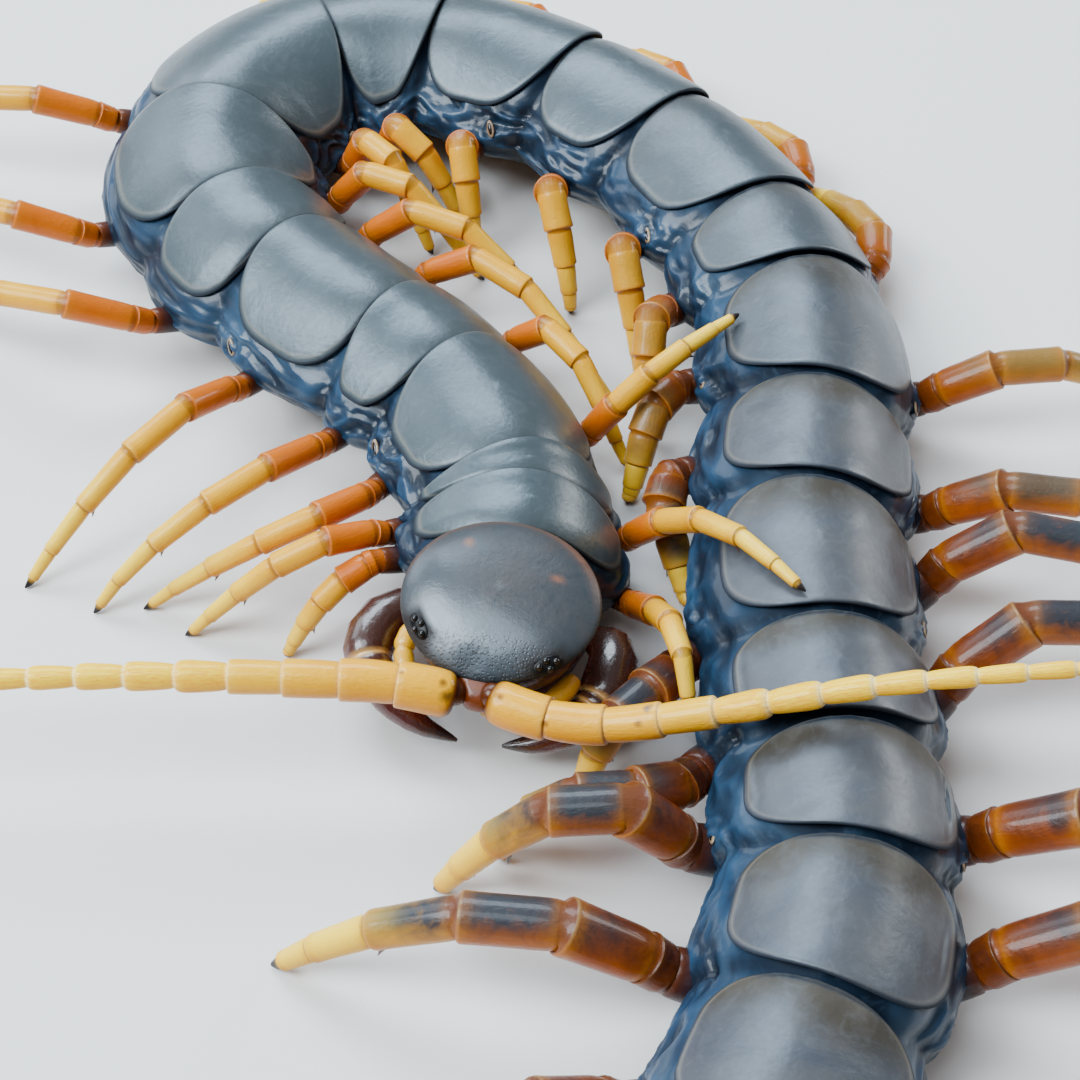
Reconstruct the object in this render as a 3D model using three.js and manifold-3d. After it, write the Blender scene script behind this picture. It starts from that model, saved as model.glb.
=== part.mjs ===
// Giant centipede at life size, curled into a hook with its head turned back beside its trunk.
// Millimetres, +Z up, floor at z = 0. The head faces -Y and the trunk bends away along +Y and returns.
import * as THREE from 'three';
import { mergeVertices } from 'three/addons/utils/BufferGeometryUtils.js';
import Module from 'manifold-3d';

const wasm = await Module();
wasm.setup();

const { Vector3, MathUtils } = THREE;
const rad = MathUtils.degToRad;

// Gap that separate pieces keep where they meet
const GAP = 0.3;

// Start of the neck on the floor plan, its heading from head to tail, and the height of the trunk's axis
const NECK = new Vector3(0.7, 5.6, 0);
const NECK_HEADING = 86;
const NECK_LEAN = 12;
const AXIS_HEIGHT = 7.3;

// One row for each of the 21 leg-bearing segments, head to tail:
// length along the axis, counterclockwise turn in degrees, width of the back plate,
// lean of the section at the rear edge in degrees, lifting the right side
const SEGMENTS = [
  [4.7, 5, 15.6, 12],
  [3.0, 13, 14.8, 13],
  [11.4, 23.5, 15.0, 11],
  [7.1, 12.5, 15.0, 7],
  [11.7, -4, 15.4, 6],
  [7.8, -15.5, 16.2, 6],
  [11.6, -40, 17.0, 7],
  [14.2, -57, 17.0, 3],
  [10.2, -37, 16.4, -8],
  [13.0, -23, 16.0, -13],
  [10.8, -11, 15.8, -13],
  [12.6, -18, 15.8, -12],
  [8.6, -11.5, 15.8, -10],
  [12.8, -20, 15.8, -7],
  [10.2, 1, 15.6, -5],
  [12.5, 9, 15.6, -5],
  [8.9, 0, 15.6, -6],
  [9.2, -9.5, 15.6, -4],
  [10.8, -14, 15.6, 0],
  [11.3, -4, 15.2, 1],
  [9.5, 0, 13.8, 1],
].map(([length, turn, width, lean]) => ({ length, turn: rad(turn), width, lean: rad(lean) }));
const SEGMENTS_PER_LENGTH = 3;
const USUAL_WIDTH = 15.6;

// Section of the trunk at the usual width: heights from its axis, and the flank's distance beyond the plate
const PLATE_TOP = 5.5;
const PLATE_DROP = 4.8;
const PLATE_STEPS = [0, 0.3, 0.56, 0.8, 1];
const PLATE_EDGE = 0.6;
const MEMBRANE_INSET = 0.8;
const FLANK = [
  { beyond: 0.5, height: -1.7 },
  { beyond: -0.9, height: -4.2 },
];
const BELLY_HALF_WIDTH = 4.8;
const BELLY_LEVEL = -5.6;
const BELLY_PLATE_RAISE = 0.45;

// Rings of one segment: place along it, lift of the back plate, its share of the full width,
// swelling of the flank, and how far the plate's corner is rounded off
const RINGS = [
  { at: 0.02, lift: -0.45, widen: 0.92, swell: -0.45, corner: 0, belly: 0 },
  { at: 0.3, lift: -0.05, widen: 0.99, swell: 0.1, corner: 0, belly: 1 },
  { at: 0.74, lift: 0.05, widen: 1, swell: 0.4, corner: 0, belly: 1 },
  { at: 0.99, lift: 0.2, widen: 0.96, swell: -0.3, corner: 1, belly: 0.2 },
];
const SHORT_SEGMENT = 9;

// The last segment narrows to the anal plates instead of ending square
const TAIL_RINGS = [
  { at: 0.02, lift: -0.45, widen: 0.94, swell: -0.45, corner: 0, belly: 0 },
  { at: 0.4, lift: 0, widen: 0.99, swell: -0.2, corner: 0, belly: 1 },
  { at: 0.8, lift: -0.15, widen: 0.88, swell: -1.1, corner: 0.6, belly: 0.6 },
  { at: 0.97, lift: -0.5, widen: 0.72, swell: -2.0, corner: 1, belly: 0 },
];
const CORNER_ROUNDING = 0.11;
const CORNER_POWER = 5;

// Leg roots: distance beyond the back plate's edge and down from the axis, rise of the coxa in degrees,
// depth of the coxa inside the flank and length outside it
const ROOT_BEYOND_PLATE = 0.1;
const ROOT_DOWN = 3.3;
const ROOT_RISE = 22;
const COXA_DEPTH = 3.6;
const COXA_FACE = 2.1;

// The last pair leaves the rear end of the trunk instead
const LAST_ROOT = { out: 3.9, down: 1.6, rise: 3 };

// Leg radius at the prefemur for the first and the last walking leg, and the last pair
const LEG_RADIUS_FRONT = 1.15;
const LEG_RADIUS_REAR = 2.0;
const LEG_RADIUS_LAST = 2.3;
const THICKEST_LEG = 17;
const REAR_LEGS_FROM = 12;
const FOOT_RADIUS = 0.3;
const LEG_SIDES = 6;
const COXA_SIDES = 6;

// Height below which nothing but the feet reaches
const LOWEST = 0.6;
const CLAW_CLEARANCE = 0.1;

// Articles of a leg from root to claw: share of the length, radius as a share of the prefemur's
const ARTICLES = [
  { share: 0.06, radius: 0.92 },
  { share: 0.2, radius: 1 },
  { share: 0.22, radius: 0.86 },
  { share: 0.21, radius: 0.7 },
  { share: 0.17, radius: 0.53 },
  { share: 0.1, radius: 0.4 },
  { share: 0.04, radius: 0.2 },
];
const NECK_IN = 0.82;
const FLARE_AT = 0.86;

// Pose of each leg, first to last: place of the root along the segment, direction at the root and of
// the foot in degrees from straight out towards the tail, reach on the floor, and the height of the
// leg's middle line a third and two thirds of the way and at the foot
const RIGHT_LEGS = [
  [0.45, -27, -30, 10, 5.6, 3.3, 0],
  [0.6, -24, -10, 17.7, 7.7, 4.1, 0],
  [0.6, -36, 4, 20, 7.5, 4, 0],
  [0.6, -13, 8, 22.8, 8, 5.2, 0],
  [0.6, -13, 1, 24.1, 8.5, 4.9, 0],
  [0.5, 4, 50, 24.6, 8.9, 6.1, 0],
  [0.38, -20, 31, 23.1, 9, 6.2, 0],
  [0.15, -35, -14, 25.1, 9, 6.4, 0],
  [0.6, -38, -78, 18, 5, 3, 0],
  [0.6, -30, -80, 17, 4.2, 2.5, 0],
  [0.6, -26, -82, 17, 3.8, 2.3, 0],
  [0.6, -27, -84, 16, 3.8, 2.3, 0],
  [0.6, -34, -84, 16, 4, 2.4, 0],
  [0.6, 8, -4, 22, 7.5, 5, 0],
  [0.6, 8, 3, 22.5, 8.4, 5.6, 0],
  [0.38, -32, 5, 25.2, 8.9, 6, 0],
  [0.36, -38, -2, 26.4, 9, 6, 0],
  [0.5, 8, 7, 28.2, 9.3, 6.5, 0],
  [0.42, -20, -7, 28.6, 9.5, 6.5, 0],
  [0.44, 10, 20, 27, 9, 6, 0],
  [0.95, 72, 78, 30, 6, 3.6, 0],
];
const LEFT_LEGS = [
  [0.45, -52, -68, 15, 7.5, 9.6, 5],
  [0.6, -44, -55, 19.6, 10.9, 13.2, 13.2],
  [0.6, -40, -8, 14.9, 9.4, 10.8, 11.4],
  [0.6, -42, -84, 15.5, 7.2, 4.3, 0],
  [0.6, -34, -76, 21, 7.5, 4.5, 0],
  [0.48, -38, -58, 20, 8.5, 5.1, 0],
  [0.6, -28, -30, 16, 9, 5.4, 0],
  [0.6, -5, -2, 12, 9, 5.4, 0],
  [0.6, 0, 40, 9.5, 9, 5.4, 0],
  [0.6, 10, 28, 9, 9, 5.4, 0],
  [0.6, 25, 48, 10, 9, 5.4, 0],
  [0.6, 35, 60, 10, 9, 5.4, 0],
  [0.6, 35, 55, 10, 8, 4.8, 0],
  [0.6, 30, 52, 10, 6, 3.6, 0],
  [0.5, 38, 90, 9.6, 5.2, 2.5, 0],
  [0.88, 50, 46, 12.6, 6.4, 6, 0],
  [0.9, 46, 14, 15.4, 7.2, 6.8, 0],
  [0.76, 8, 5, 19, 11, 7, 0],
  [0.86, 12, 12, 28.3, 9.5, 6.2, 0],
  [0.76, 38, 50, 24, 9, 6, 0],
  [0.95, 72, 78, 30, 6, 3.6, 0],
];

// Head: distance of its centre ahead of the neck, its turn from the neck's heading, pitch, and sizes
const HEAD_AHEAD = 6.0;
const HEAD_TURN = -10;
const HEAD_PITCH = 14;
const CROWN_LEVEL = 12.8;
const HEAD_HALF_LENGTH = 5.85;
const HEAD_HALF_WIDTH = 7.1;
const HEAD_SIDES = 24;

// Rings of the head from the crown to the underside: share of the outline, height from the crown
const HEAD_RINGS = [
  [0.36, -0.12],
  [0.68, -0.48],
  [0.9, -1.0],
  [1, -1.5],
  [0.98, -2.0],
  [0.88, -2.2],
  [0.88, -3.9],
  [0.7, -6.0],
];

// Clypeus between the antennae: place ahead of the head's centre, half width, underside and top
const CLYPEUS = [
  [3.6, 1.5, 7.2, 9.4],
  [6.4, 1.0, 7.3, 9.5],
  [7.7, 0.7, 7.5, 8.8],
];

// Neck under the head's rear rim: reach ahead of the first segment, half width, half height, height
const NECK_REACH = 1.7;
const NECK_SIZE = [5.4, 2.4, 1.3];

// Eye patches of four simple eyes: bearing from straight ahead on the right and the left, share of the
// outline, half sizes
const EYE_BEARINGS = [53, 41];
const EYE_AT = 0.93;
const EYE_PATCH = [0.75, 1.25, 0.5];
const EYE_RADIUS = 0.34;
const EYE_SPOTS = [[0.12, 0.68], [0.36, 0], [-0.36, 0], [0.05, -0.68]];

// Points in the head's frame are ahead of its centre, to its right, and height above the floor
const ANTENNA_RIGHT = [
  [7.05, 2.0, 8.75], [7.2, 3.6, 9.2], [7.6, 6.6, 9.6], [8.4, 9.9, 9.8], [9.8, 15.9, 10], [12.9, 28.7, 9.8],
  [16.7, 42.5, 9], [19.8, 53, 8],
];
const ANTENNA_LEFT = [
  [6.75, -1.5, 8.9], [7.1, -3.2, 8.8], [7.3, -5.6, 8.8], [7.1, -9.2, 9.2], [6.4, -15.4, 11.6], [4.9, -26.1, 16.2],
  [3.1, -37.6, 19.4], [0.1, -49.6, 20.4], [-0.9, -53.5, 20.4],
];
const ANTENNA_ARTICLES = 17;
const ANTENNA_CROWDING = 0.32;
const ANTENNA_RADII = { right: [1.75, 0.42], left: [1.66, 0.36] };
const ANTENNA_SIDES = 7;

// Poison claws, each from the corner of their plate round the head to a point under the mouth
const CLAW_RIGHT = [
  [-3.4, 6.7, 4.3], [-2.0, 8.9, 4.5], [1.0, 9.7, 4.3], [3.9, 8.0, 3.8], [5.9, 4.8, 3.2], [6.5, 1.6, 2.8],
];
const CLAW_LEFT = [
  [-3.4, -6.3, 4.3], [-2.2, -7.7, 4.7], [0.8, -7.8, 4.4], [3.4, -6.7, 3.9], [5.4, -4.4, 3.2], [6.2, -1.6, 2.8],
];
const CLAW_RADII = [
  [0, 1.3], [0.1, 1.75], [0.3, 1.95], [0.42, 1.75], [0.44, 1.5], [0.49, 1.65],
  [0.51, 1.35], [0.55, 1.5], [0.58, 1.25], [0.7, 1.15], [0.86, 0.7], [1, 0.2],
];
const CLAW_SIDES = 8;

// Plate that carries the poison claws: place ahead of the head's centre, half width, underside, top
const CLAW_PLATE = [
  [-5.1, 5.0, 2.1, 4.9],
  [-3.8, 5.7, 1.8, 5.4],
  [-0.8, 4.9, 1.8, 5.4],
  [2.0, 3.0, 2.3, 5.0],
  [3.3, 2.3, 2.8, 4.5],
];

const PALP_RIGHT = [[-0.6, 6.5, 5.9], [0.9, 6.9, 5.5], [2.8, 6.4, 4.9], [4.6, 4.6, 4.5]];
const PALP_LEFT = [[1.6, -5.8, 6.1], [3.4, -4.8, 5.8], [5.2, -2.4, 5.2], [5.0, 0.4, 5.0]];
const PALP_RADII = [
  [0, 0.6], [0.06, 0.75], [0.32, 0.8], [0.36, 0.62], [0.42, 0.75], [0.66, 0.7],
  [0.7, 0.52], [0.76, 0.6], [0.92, 0.5], [1, 0.22],
];
const PALP_SIDES = 6;

const HEAD_COLOUR = 0x3a4044;
const PLATE_COLOUR = 0x5d656c;
const LEG_FRONT_COLOUR = 0xdc8f2a;
const LEG_REAR_COLOUR = 0xa5521c;
const ANTENNA_COLOUR = 0xf0bf68;
const JAW_COLOUR = 0x6b2a14;
const EYE_COLOUR = 0x101214;

// Frame of the axis at a share of one segment: centre, direction to the tail, right side and up
function stepAlong(state, length, turn) {
  const { x, y, heading } = state;
  if (Math.abs(turn) < 1e-6) {
    return { x: x + length * Math.cos(heading), y: y + length * Math.sin(heading), heading };
  }
  const radius = length / turn;
  return {
    x: x + radius * (Math.sin(heading + turn) - Math.sin(heading)),
    y: y - radius * (Math.cos(heading + turn) - Math.cos(heading)),
    heading: heading + turn,
  };
}

const starts = [{ x: NECK.x, y: NECK.y, heading: rad(NECK_HEADING) }];
for (const segment of SEGMENTS) {
  starts.push(stepAlong(starts.at(-1), segment.length, segment.turn));
}

function axisFrame(index, share) {
  const segment = SEGMENTS[index];
  const before = index ? SEGMENTS[index - 1].lean : rad(NECK_LEAN);
  const lean = MathUtils.lerp(before, segment.lean, Math.max(share, 0));
  const { x, y, heading } = stepAlong(starts[index], segment.length * share, segment.turn * share);
  const tail = new Vector3(Math.cos(heading), Math.sin(heading), 0);
  const level = new Vector3(-Math.sin(heading), Math.cos(heading), 0);
  const right = level.clone().applyAxisAngle(tail, lean);
  const up = tail.clone().cross(right);
  return { centre: new Vector3(x, y, AXIS_HEIGHT), tail, right, up };
}

function pointIn(frame, across, height) {
  return frame.centre.clone().addScaledVector(frame.right, across).addScaledVector(frame.up, height);
}

// Closed surface through rings of equally many points, each end closed to its middle
function loft(rings) {
  const count = rings[0].length;
  const points = rings.flat();
  const middles = [rings[0], rings.at(-1)].map((ring) => {
    const sum = ring.reduce((total, point) => total.add(point), new Vector3());
    return sum.divideScalar(count);
  });
  const first = points.length;
  points.push(...middles);
  const index = [];
  for (let r = 0; r + 1 < rings.length; r++) {
    for (let i = 0; i < count; i++) {
      const a = r * count + i;
      const b = r * count + (i + 1) % count;
      index.push(a, b, b + count, a, b + count, a + count);
    }
  }
  const last = (rings.length - 1) * count;
  for (let i = 0; i < count; i++) {
    const j = (i + 1) % count;
    index.push(first, j, i, first + 1, last + i, last + j);
  }
  const geometry = new THREE.BufferGeometry().setFromPoints(points);
  geometry.setIndex(index);
  if (signedVolume(geometry) < 0) {
    geometry.setIndex(index.reverse());
  }
  return geometry;
}

function signedVolume(geometry) {
  const position = geometry.getAttribute('position');
  const order = geometry.index.array;
  const [a, b, c] = [new Vector3(), new Vector3(), new Vector3()];
  let volume = 0;
  for (let i = 0; i < order.length; i += 3) {
    a.fromBufferAttribute(position, order[i]);
    b.fromBufferAttribute(position, order[i + 1]);
    c.fromBufferAttribute(position, order[i + 2]);
    volume += a.dot(b.cross(c));
  }
  return volume;
}

// Round ring about a centre, square to a direction, with its first point on the given side
function roundRing(centre, along, side, radius, sides) {
  const across = side.clone().addScaledVector(along, -side.dot(along)).normalize();
  const other = along.clone().cross(across).normalize();
  return Array.from({ length: sides }, (_, i) => {
    const angle = 2 * Math.PI * (i + 0.5) / sides;
    return centre.clone()
      .addScaledVector(across, radius * Math.cos(angle))
      .addScaledVector(other, radius * Math.sin(angle));
  });
}

function solid(geometry) {
  const plain = geometry.clone();
  plain.deleteAttribute('normal');
  plain.deleteAttribute('uv');
  const merged = mergeVertices(plain, 1e-4);
  return new wasm.Manifold(new wasm.Mesh({
    numProp: 3,
    vertProperties: new Float32Array(merged.getAttribute('position').array),
    triVerts: new Uint32Array(merged.index.array),
  }));
}

// Geometry of a solid's largest closed surface
function largestBody(whole) {
  const bodies = whole.decompose();
  const largest = bodies.reduce((best, body) => (body.volume() > best.volume() ? body : best));
  const mesh = largest.getMesh();
  const geometry = new THREE.BufferGeometry();
  geometry.setAttribute('position', new THREE.BufferAttribute(mesh.vertProperties, 3));
  geometry.setIndex(new THREE.BufferAttribute(mesh.triVerts, 1));
  return geometry;
}

const centipede = new THREE.Group();

function addPiece(name, geometry, color, roughness = 0.45) {
  const flat = geometry.toNonIndexed();
  flat.computeVertexNormals();
  const mesh = new THREE.Mesh(flat, new THREE.MeshStandardMaterial({ color, roughness, metalness: 0 }));
  mesh.name = name;
  centipede.add(mesh);
}

// One ring of the trunk: back plate, its edge, flank and belly on the right, then the same on the left
function trunkRing(index, ring) {
  const { length, width } = SEGMENTS[index];
  const half = width / 2;
  const depth = Math.sqrt(width / USUAL_WIDTH);
  const rim = half * ring.widen;
  const edgeLevel = PLATE_TOP - PLATE_DROP + ring.lift;
  const belly = BELLY_LEVEL - BELLY_PLATE_RAISE * ring.belly + BELLY_PLATE_RAISE;
  const points = PLATE_STEPS.map((share) => ({
    across: rim * share,
    height: PLATE_TOP - PLATE_DROP * share * share + ring.lift,
    back: ring.corner * CORNER_ROUNDING * share ** CORNER_POWER,
  }));
  const back = ring.corner * CORNER_ROUNDING * 0.5;
  points.push({ across: rim - 0.3, height: edgeLevel - PLATE_EDGE, back });
  points.push({ across: half - MEMBRANE_INSET - 0.3, height: edgeLevel - PLATE_EDGE - 0.25, back: 0 });
  for (const { beyond, height } of FLANK) {
    points.push({ across: half + beyond + ring.swell, height, back: 0 });
  }
  points.push({ across: BELLY_HALF_WIDTH + 0.2, height: belly + 0.35, back: 0 });
  points.push({ across: BELLY_HALF_WIDTH - 0.4, height: belly, back: 0 });
  const place = ({ across, height, back: shift }, side) => {
    const frame = axisFrame(index, ring.at - shift);
    return pointIn(frame, side * across, height * depth);
  };
  const right = points.map((point) => place(point, 1));
  const left = points.slice(1).reverse().map((point) => place(point, -1));
  return [...right, ...left];
}

function trunkRings(from, to) {
  const rings = [];
  for (let index = from; index < to; index++) {
    const half = GAP / 2 / SEGMENTS[index].length;
    const isShort = SEGMENTS[index].length < SHORT_SEGMENT;
    const isLast = index === SEGMENTS.length - 1;
    const usual = RINGS.filter((_, order) => !isShort || order !== 1);
    for (const ring of isLast ? TAIL_RINGS : usual) {
      const at = Math.min(Math.max(ring.at, half), 1 - half);
      rings.push(trunkRing(index, { ...ring, at }));
    }
  }
  return rings;
}

// Radius of a leg at its prefemur
function legRadius(index) {
  if (index === SEGMENTS.length - 1) {
    return LEG_RADIUS_LAST;
  }
  const share = Math.min(index / THICKEST_LEG, 1);
  return MathUtils.lerp(LEG_RADIUS_FRONT, LEG_RADIUS_REAR, share ** 2);
}

// Where a leg leaves the trunk: point on the flank, level direction out and direction of the coxa
function legRoot(index, side) {
  const [at, leave] = (side > 0 ? RIGHT_LEGS : LEFT_LEGS)[index];
  const usual = {
    out: SEGMENTS[index].width / 2 + ROOT_BEYOND_PLATE,
    down: ROOT_DOWN,
    rise: ROOT_RISE,
  };
  const root = index === SEGMENTS.length - 1 ? LAST_ROOT : usual;
  const frame = axisFrame(index, at);
  const point = pointIn(frame, side * root.out, -root.down);
  const level = frame.right.clone().setZ(0).normalize().multiplyScalar(side);
  const rise = rad(root.rise);
  const heading = level.clone().multiplyScalar(Math.cos(rad(leave)))
    .addScaledVector(frame.tail, Math.sin(rad(leave)));
  const direction = heading.clone().multiplyScalar(Math.cos(rise)).setZ(Math.sin(rise));
  return { point, level, tail: frame.tail, direction };
}

// Rings with no point below a level
function liftedFrom(rings, lowest) {
  for (const point of rings.flat()) {
    point.z = Math.max(point.z, lowest);
  }
  return rings;
}

function coxa(index, side) {
  const { point, direction } = legRoot(index, side);
  const radius = legRadius(index) * 0.95;
  const up = new Vector3(0, 0, 1);
  const inner = point.clone().addScaledVector(direction, -COXA_DEPTH);
  const shoulder = point.clone().addScaledVector(direction, COXA_FACE * 0.5);
  const face = point.clone().addScaledVector(direction, COXA_FACE);
  const rings = [
    roundRing(inner, direction, up, radius * 0.9, COXA_SIDES),
    roundRing(shoulder, direction, up, radius * 1.12, COXA_SIDES),
    roundRing(face, direction, up, radius, COXA_SIDES),
  ];
  return loft(liftedFrom(rings, LOWEST));
}

function leg(index, side) {
  const [, , aim, reach, third, twoThirds, footLevel] = (side > 0 ? RIGHT_LEGS : LEFT_LEGS)[index];
  const { point, level, tail, direction } = legRoot(index, side);
  const start = point.clone().addScaledVector(direction, COXA_FACE + GAP);
  const away = level.clone().multiplyScalar(Math.cos(rad(aim))).addScaledVector(tail, Math.sin(rad(aim)));
  const foot = point.clone().addScaledVector(away, reach).setZ(footLevel);
  const rise = (18 * third - 9 * twoThirds - 5 * start.z + 2 * footLevel) / 6;
  const fall = (18 * twoThirds - 9 * third - 5 * footLevel + 2 * start.z) / 6;
  const first = start.clone().addScaledVector(direction, reach * 0.36).setZ(rise);
  const second = point.clone().addScaledVector(away, reach * 0.8).setZ(fall);
  const path = new THREE.CubicBezierCurve3(start, first, second, foot);
  const radius = legRadius(index);
  const sideways = foot.clone().sub(start).cross(new Vector3(0, 0, 1)).normalize();
  const rings = [roundRing(start, direction, sideways, radius * 0.85, LEG_SIDES)];
  const down = new Vector3(0, 0, -1);
  let gone = 0;
  ARTICLES.forEach((article, order) => {
    const from = path.getPointAt(gone);
    gone = Math.min(gone + article.share, 1);
    const to = path.getPointAt(gone);
    const along = to.clone().sub(from).normalize();
    const size = radius * article.radius;
    if (order === 0 || order === ARTICLES.length - 1) {
      return;
    }
    const at = (share) => from.clone().lerp(to, share);
    const entry = path.getTangentAt(gone - article.share);
    rings.push(roundRing(at(0), entry, sideways, size * NECK_IN, LEG_SIDES));
    rings.push(roundRing(at(FLARE_AT), along, sideways, size * 1.02, LEG_SIDES));
  });
  const claw = path.getPointAt(1 - ARTICLES.at(-1).share);
  rings.push(roundRing(claw, path.getTangentAt(0.96), sideways, radius * ARTICLES.at(-1).radius, LEG_SIDES));
  liftedFrom(rings, CLAW_CLEARANCE);
  rings.push(roundRing(foot, down, sideways, FOOT_RADIUS, LEG_SIDES));
  return loft(rings);
}

// The head's own frame, square to its heading and level with the floor
const headHeading = rad(NECK_HEADING + HEAD_TURN);
const headAhead = new Vector3(-Math.cos(headHeading), -Math.sin(headHeading), 0);
const headRight = new Vector3(-Math.sin(headHeading), Math.cos(headHeading), 0);
const approach = rad(NECK_HEADING + HEAD_TURN / 2);
const headCentre = new Vector3(NECK.x, NECK.y, 0)
  .add(new Vector3(-Math.cos(approach), -Math.sin(approach), 0).multiplyScalar(HEAD_AHEAD));

function inHead([ahead, right, height]) {
  return headCentre.clone().addScaledVector(headAhead, ahead).addScaledVector(headRight, right).setZ(height);
}

// Point of the head's shell at a bearing, a share of its outline and a height from the crown
function headPoint(bearing, share, height) {
  const ahead = HEAD_HALF_LENGTH * share * Math.cos(bearing);
  const slope = -Math.tan(rad(HEAD_PITCH)) * ahead;
  return inHead([ahead, HEAD_HALF_WIDTH * share * Math.sin(bearing), CROWN_LEVEL + height + slope]);
}

function ellipseRing(frame, across, height, level, sides) {
  return Array.from({ length: sides }, (_, i) => {
    const angle = 2 * Math.PI * i / sides;
    return pointIn(frame, across * Math.cos(angle), level + height * Math.sin(angle));
  });
}

// The neck, or with a clearance the room that it needs under the head
function neck(clearance) {
  const [across, height, level] = NECK_SIZE;
  const { length } = SEGMENTS[0];
  const ends = [-(NECK_REACH + clearance) / length, 0.35];
  return loft(ends.map((at) => (
    ellipseRing(axisFrame(0, at), across + clearance, height + clearance, level, 12)
  )));
}

// Room for the front of the first back plate under the head's rear rim
function plateRoom() {
  const { length } = SEGMENTS[0];
  const room = { lift: RINGS[0].lift + GAP, widen: 1, swell: GAP, corner: 0, belly: 0 };
  return loft([-GAP / 2 / length, 0.6].map((at) => trunkRing(0, { ...room, at })));
}

// Box-like ring across the head at a place ahead of its centre
function crossRing([ahead, half, low, high]) {
  const middle = (low + high) / 2;
  const outline = [
    [half * 0.8, low], [half, middle], [half * 0.8, high], [0, high + 0.1],
    [-half * 0.8, high], [-half, middle], [-half * 0.8, low], [0, low - 0.1],
  ];
  return outline.map(([right, height]) => inHead([ahead, right, height]));
}

function eyeFrame(side) {
  const bearing = side * rad(EYE_BEARINGS[side > 0 ? 0 : 1]);
  const centre = headPoint(bearing, EYE_AT, -1.1);
  const out = headPoint(bearing, 1, -1.5).sub(headPoint(bearing, 0.8, -0.7)).normalize();
  const along = headPoint(bearing + 0.05, EYE_AT, 0).sub(headPoint(bearing - 0.05, EYE_AT, 0)).normalize();
  const normal = out.clone().cross(along).normalize();
  normal.multiplyScalar(Math.sign(normal.z));
  const outward = along.clone().cross(normal);
  return new THREE.Matrix4().makeBasis(outward, along, normal).setPosition(centre);
}

function eyeCushion(side, clearance) {
  const [wide, long, thick] = EYE_PATCH.map((size) => size + clearance);
  const geometry = new THREE.SphereGeometry(1, 10, 5);
  geometry.scale(wide, long, thick);
  return geometry.applyMatrix4(eyeFrame(side));
}

function eyes(side) {
  let whole = solid(eyeCushion(side, 0));
  for (const [outward, along] of EYE_SPOTS) {
    const spot = new THREE.SphereGeometry(EYE_RADIUS, 6, 4);
    spot.translate(outward, along, EYE_PATCH[2] * 0.72);
    whole = whole.add(solid(spot.applyMatrix4(eyeFrame(side))));
  }
  return largestBody(whole);
}

function head() {
  const rings = HEAD_RINGS.map(([share, height]) => Array.from({ length: HEAD_SIDES }, (_, i) => (
    headPoint(2 * Math.PI * i / HEAD_SIDES, share, height)
  )));
  let whole = solid(loft(rings)).add(solid(loft(CLYPEUS.map(crossRing))));
  whole = whole.subtract(solid(neck(GAP))).subtract(solid(plateRoom()));
  for (const side of [1, -1]) {
    whole = whole.subtract(solid(eyeCushion(side, GAP)));
  }
  return largestBody(whole);
}

// Tapered limb along a smooth path through points in the head's frame
function headLimb(points, radii, sides) {
  const path = new THREE.CatmullRomCurve3(points.map(inHead));
  const up = new Vector3(0, 0, 1);
  return loft(radii.map(([at, radius]) => (
    roundRing(path.getPointAt(at), path.getTangentAt(at), up, radius, sides)
  )));
}

// Share of an antenna's length that its first articles take up, each a little longer than the next
function antennaShare(articles) {
  const share = articles / ANTENNA_ARTICLES;
  return share * (1 + ANTENNA_CROWDING * (1 - share));
}

function antennaRadii([root, tip]) {
  const radii = [[0, root * 0.55]];
  for (let i = 0; i < ANTENNA_ARTICLES; i++) {
    const [from, to] = [antennaShare(i), antennaShare(i + 1)];
    const radius = root * (tip / root) ** from;
    radii.push([MathUtils.lerp(from, to, 0.1), radius * 0.9]);
    radii.push([MathUtils.lerp(from, to, 0.88), radius]);
  }
  radii.push([1, tip * 0.5]);
  return radii;
}

function antenna(side, points) {
  return headLimb(points, antennaRadii(ANTENNA_RADII[side]), ANTENNA_SIDES);
}

addPiece('head', head(), HEAD_COLOUR, 0.3);
addPiece('eyes_right', eyes(1), EYE_COLOUR, 0.15);
addPiece('eyes_left', eyes(-1), EYE_COLOUR, 0.15);
addPiece('antenna_right', antenna('right', ANTENNA_RIGHT), ANTENNA_COLOUR);
addPiece('antenna_left', antenna('left', ANTENNA_LEFT), ANTENNA_COLOUR);
addPiece('claw_plate', loft(CLAW_PLATE.map(crossRing)), JAW_COLOUR);
addPiece('poison_claw_right', headLimb(CLAW_RIGHT, CLAW_RADII, CLAW_SIDES), JAW_COLOUR, 0.25);
addPiece('poison_claw_left', headLimb(CLAW_LEFT, CLAW_RADII, CLAW_SIDES), JAW_COLOUR, 0.25);
addPiece('palp_right', headLimb(PALP_RIGHT, PALP_RADII, PALP_SIDES), ANTENNA_COLOUR);
addPiece('palp_left', headLimb(PALP_LEFT, PALP_RADII, PALP_SIDES), ANTENNA_COLOUR);

// Trunk in lengths of three segments, with the coxae fused on
for (let from = 0; from < SEGMENTS.length; from += SEGMENTS_PER_LENGTH) {
  const to = from + SEGMENTS_PER_LENGTH;
  let whole = solid(loft(trunkRings(from, to)));
  if (from === 0) {
    whole = whole.add(solid(neck(0)));
  }
  for (let index = from; index < to; index++) {
    for (const side of [1, -1]) {
      whole = whole.add(solid(coxa(index, side)));
    }
  }
  addPiece(`trunk_${to / SEGMENTS_PER_LENGTH}`, largestBody(whole), PLATE_COLOUR);
}

for (let index = 0; index < SEGMENTS.length; index++) {
  const colour = index < REAR_LEGS_FROM ? LEG_FRONT_COLOUR : LEG_REAR_COLOUR;
  const number = String(index + 1).padStart(2, '0');
  addPiece(`leg_right_${number}`, leg(index, 1), colour);
  addPiece(`leg_left_${number}`, leg(index, -1), colour);
}

export default centipede;
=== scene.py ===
import math

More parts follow.
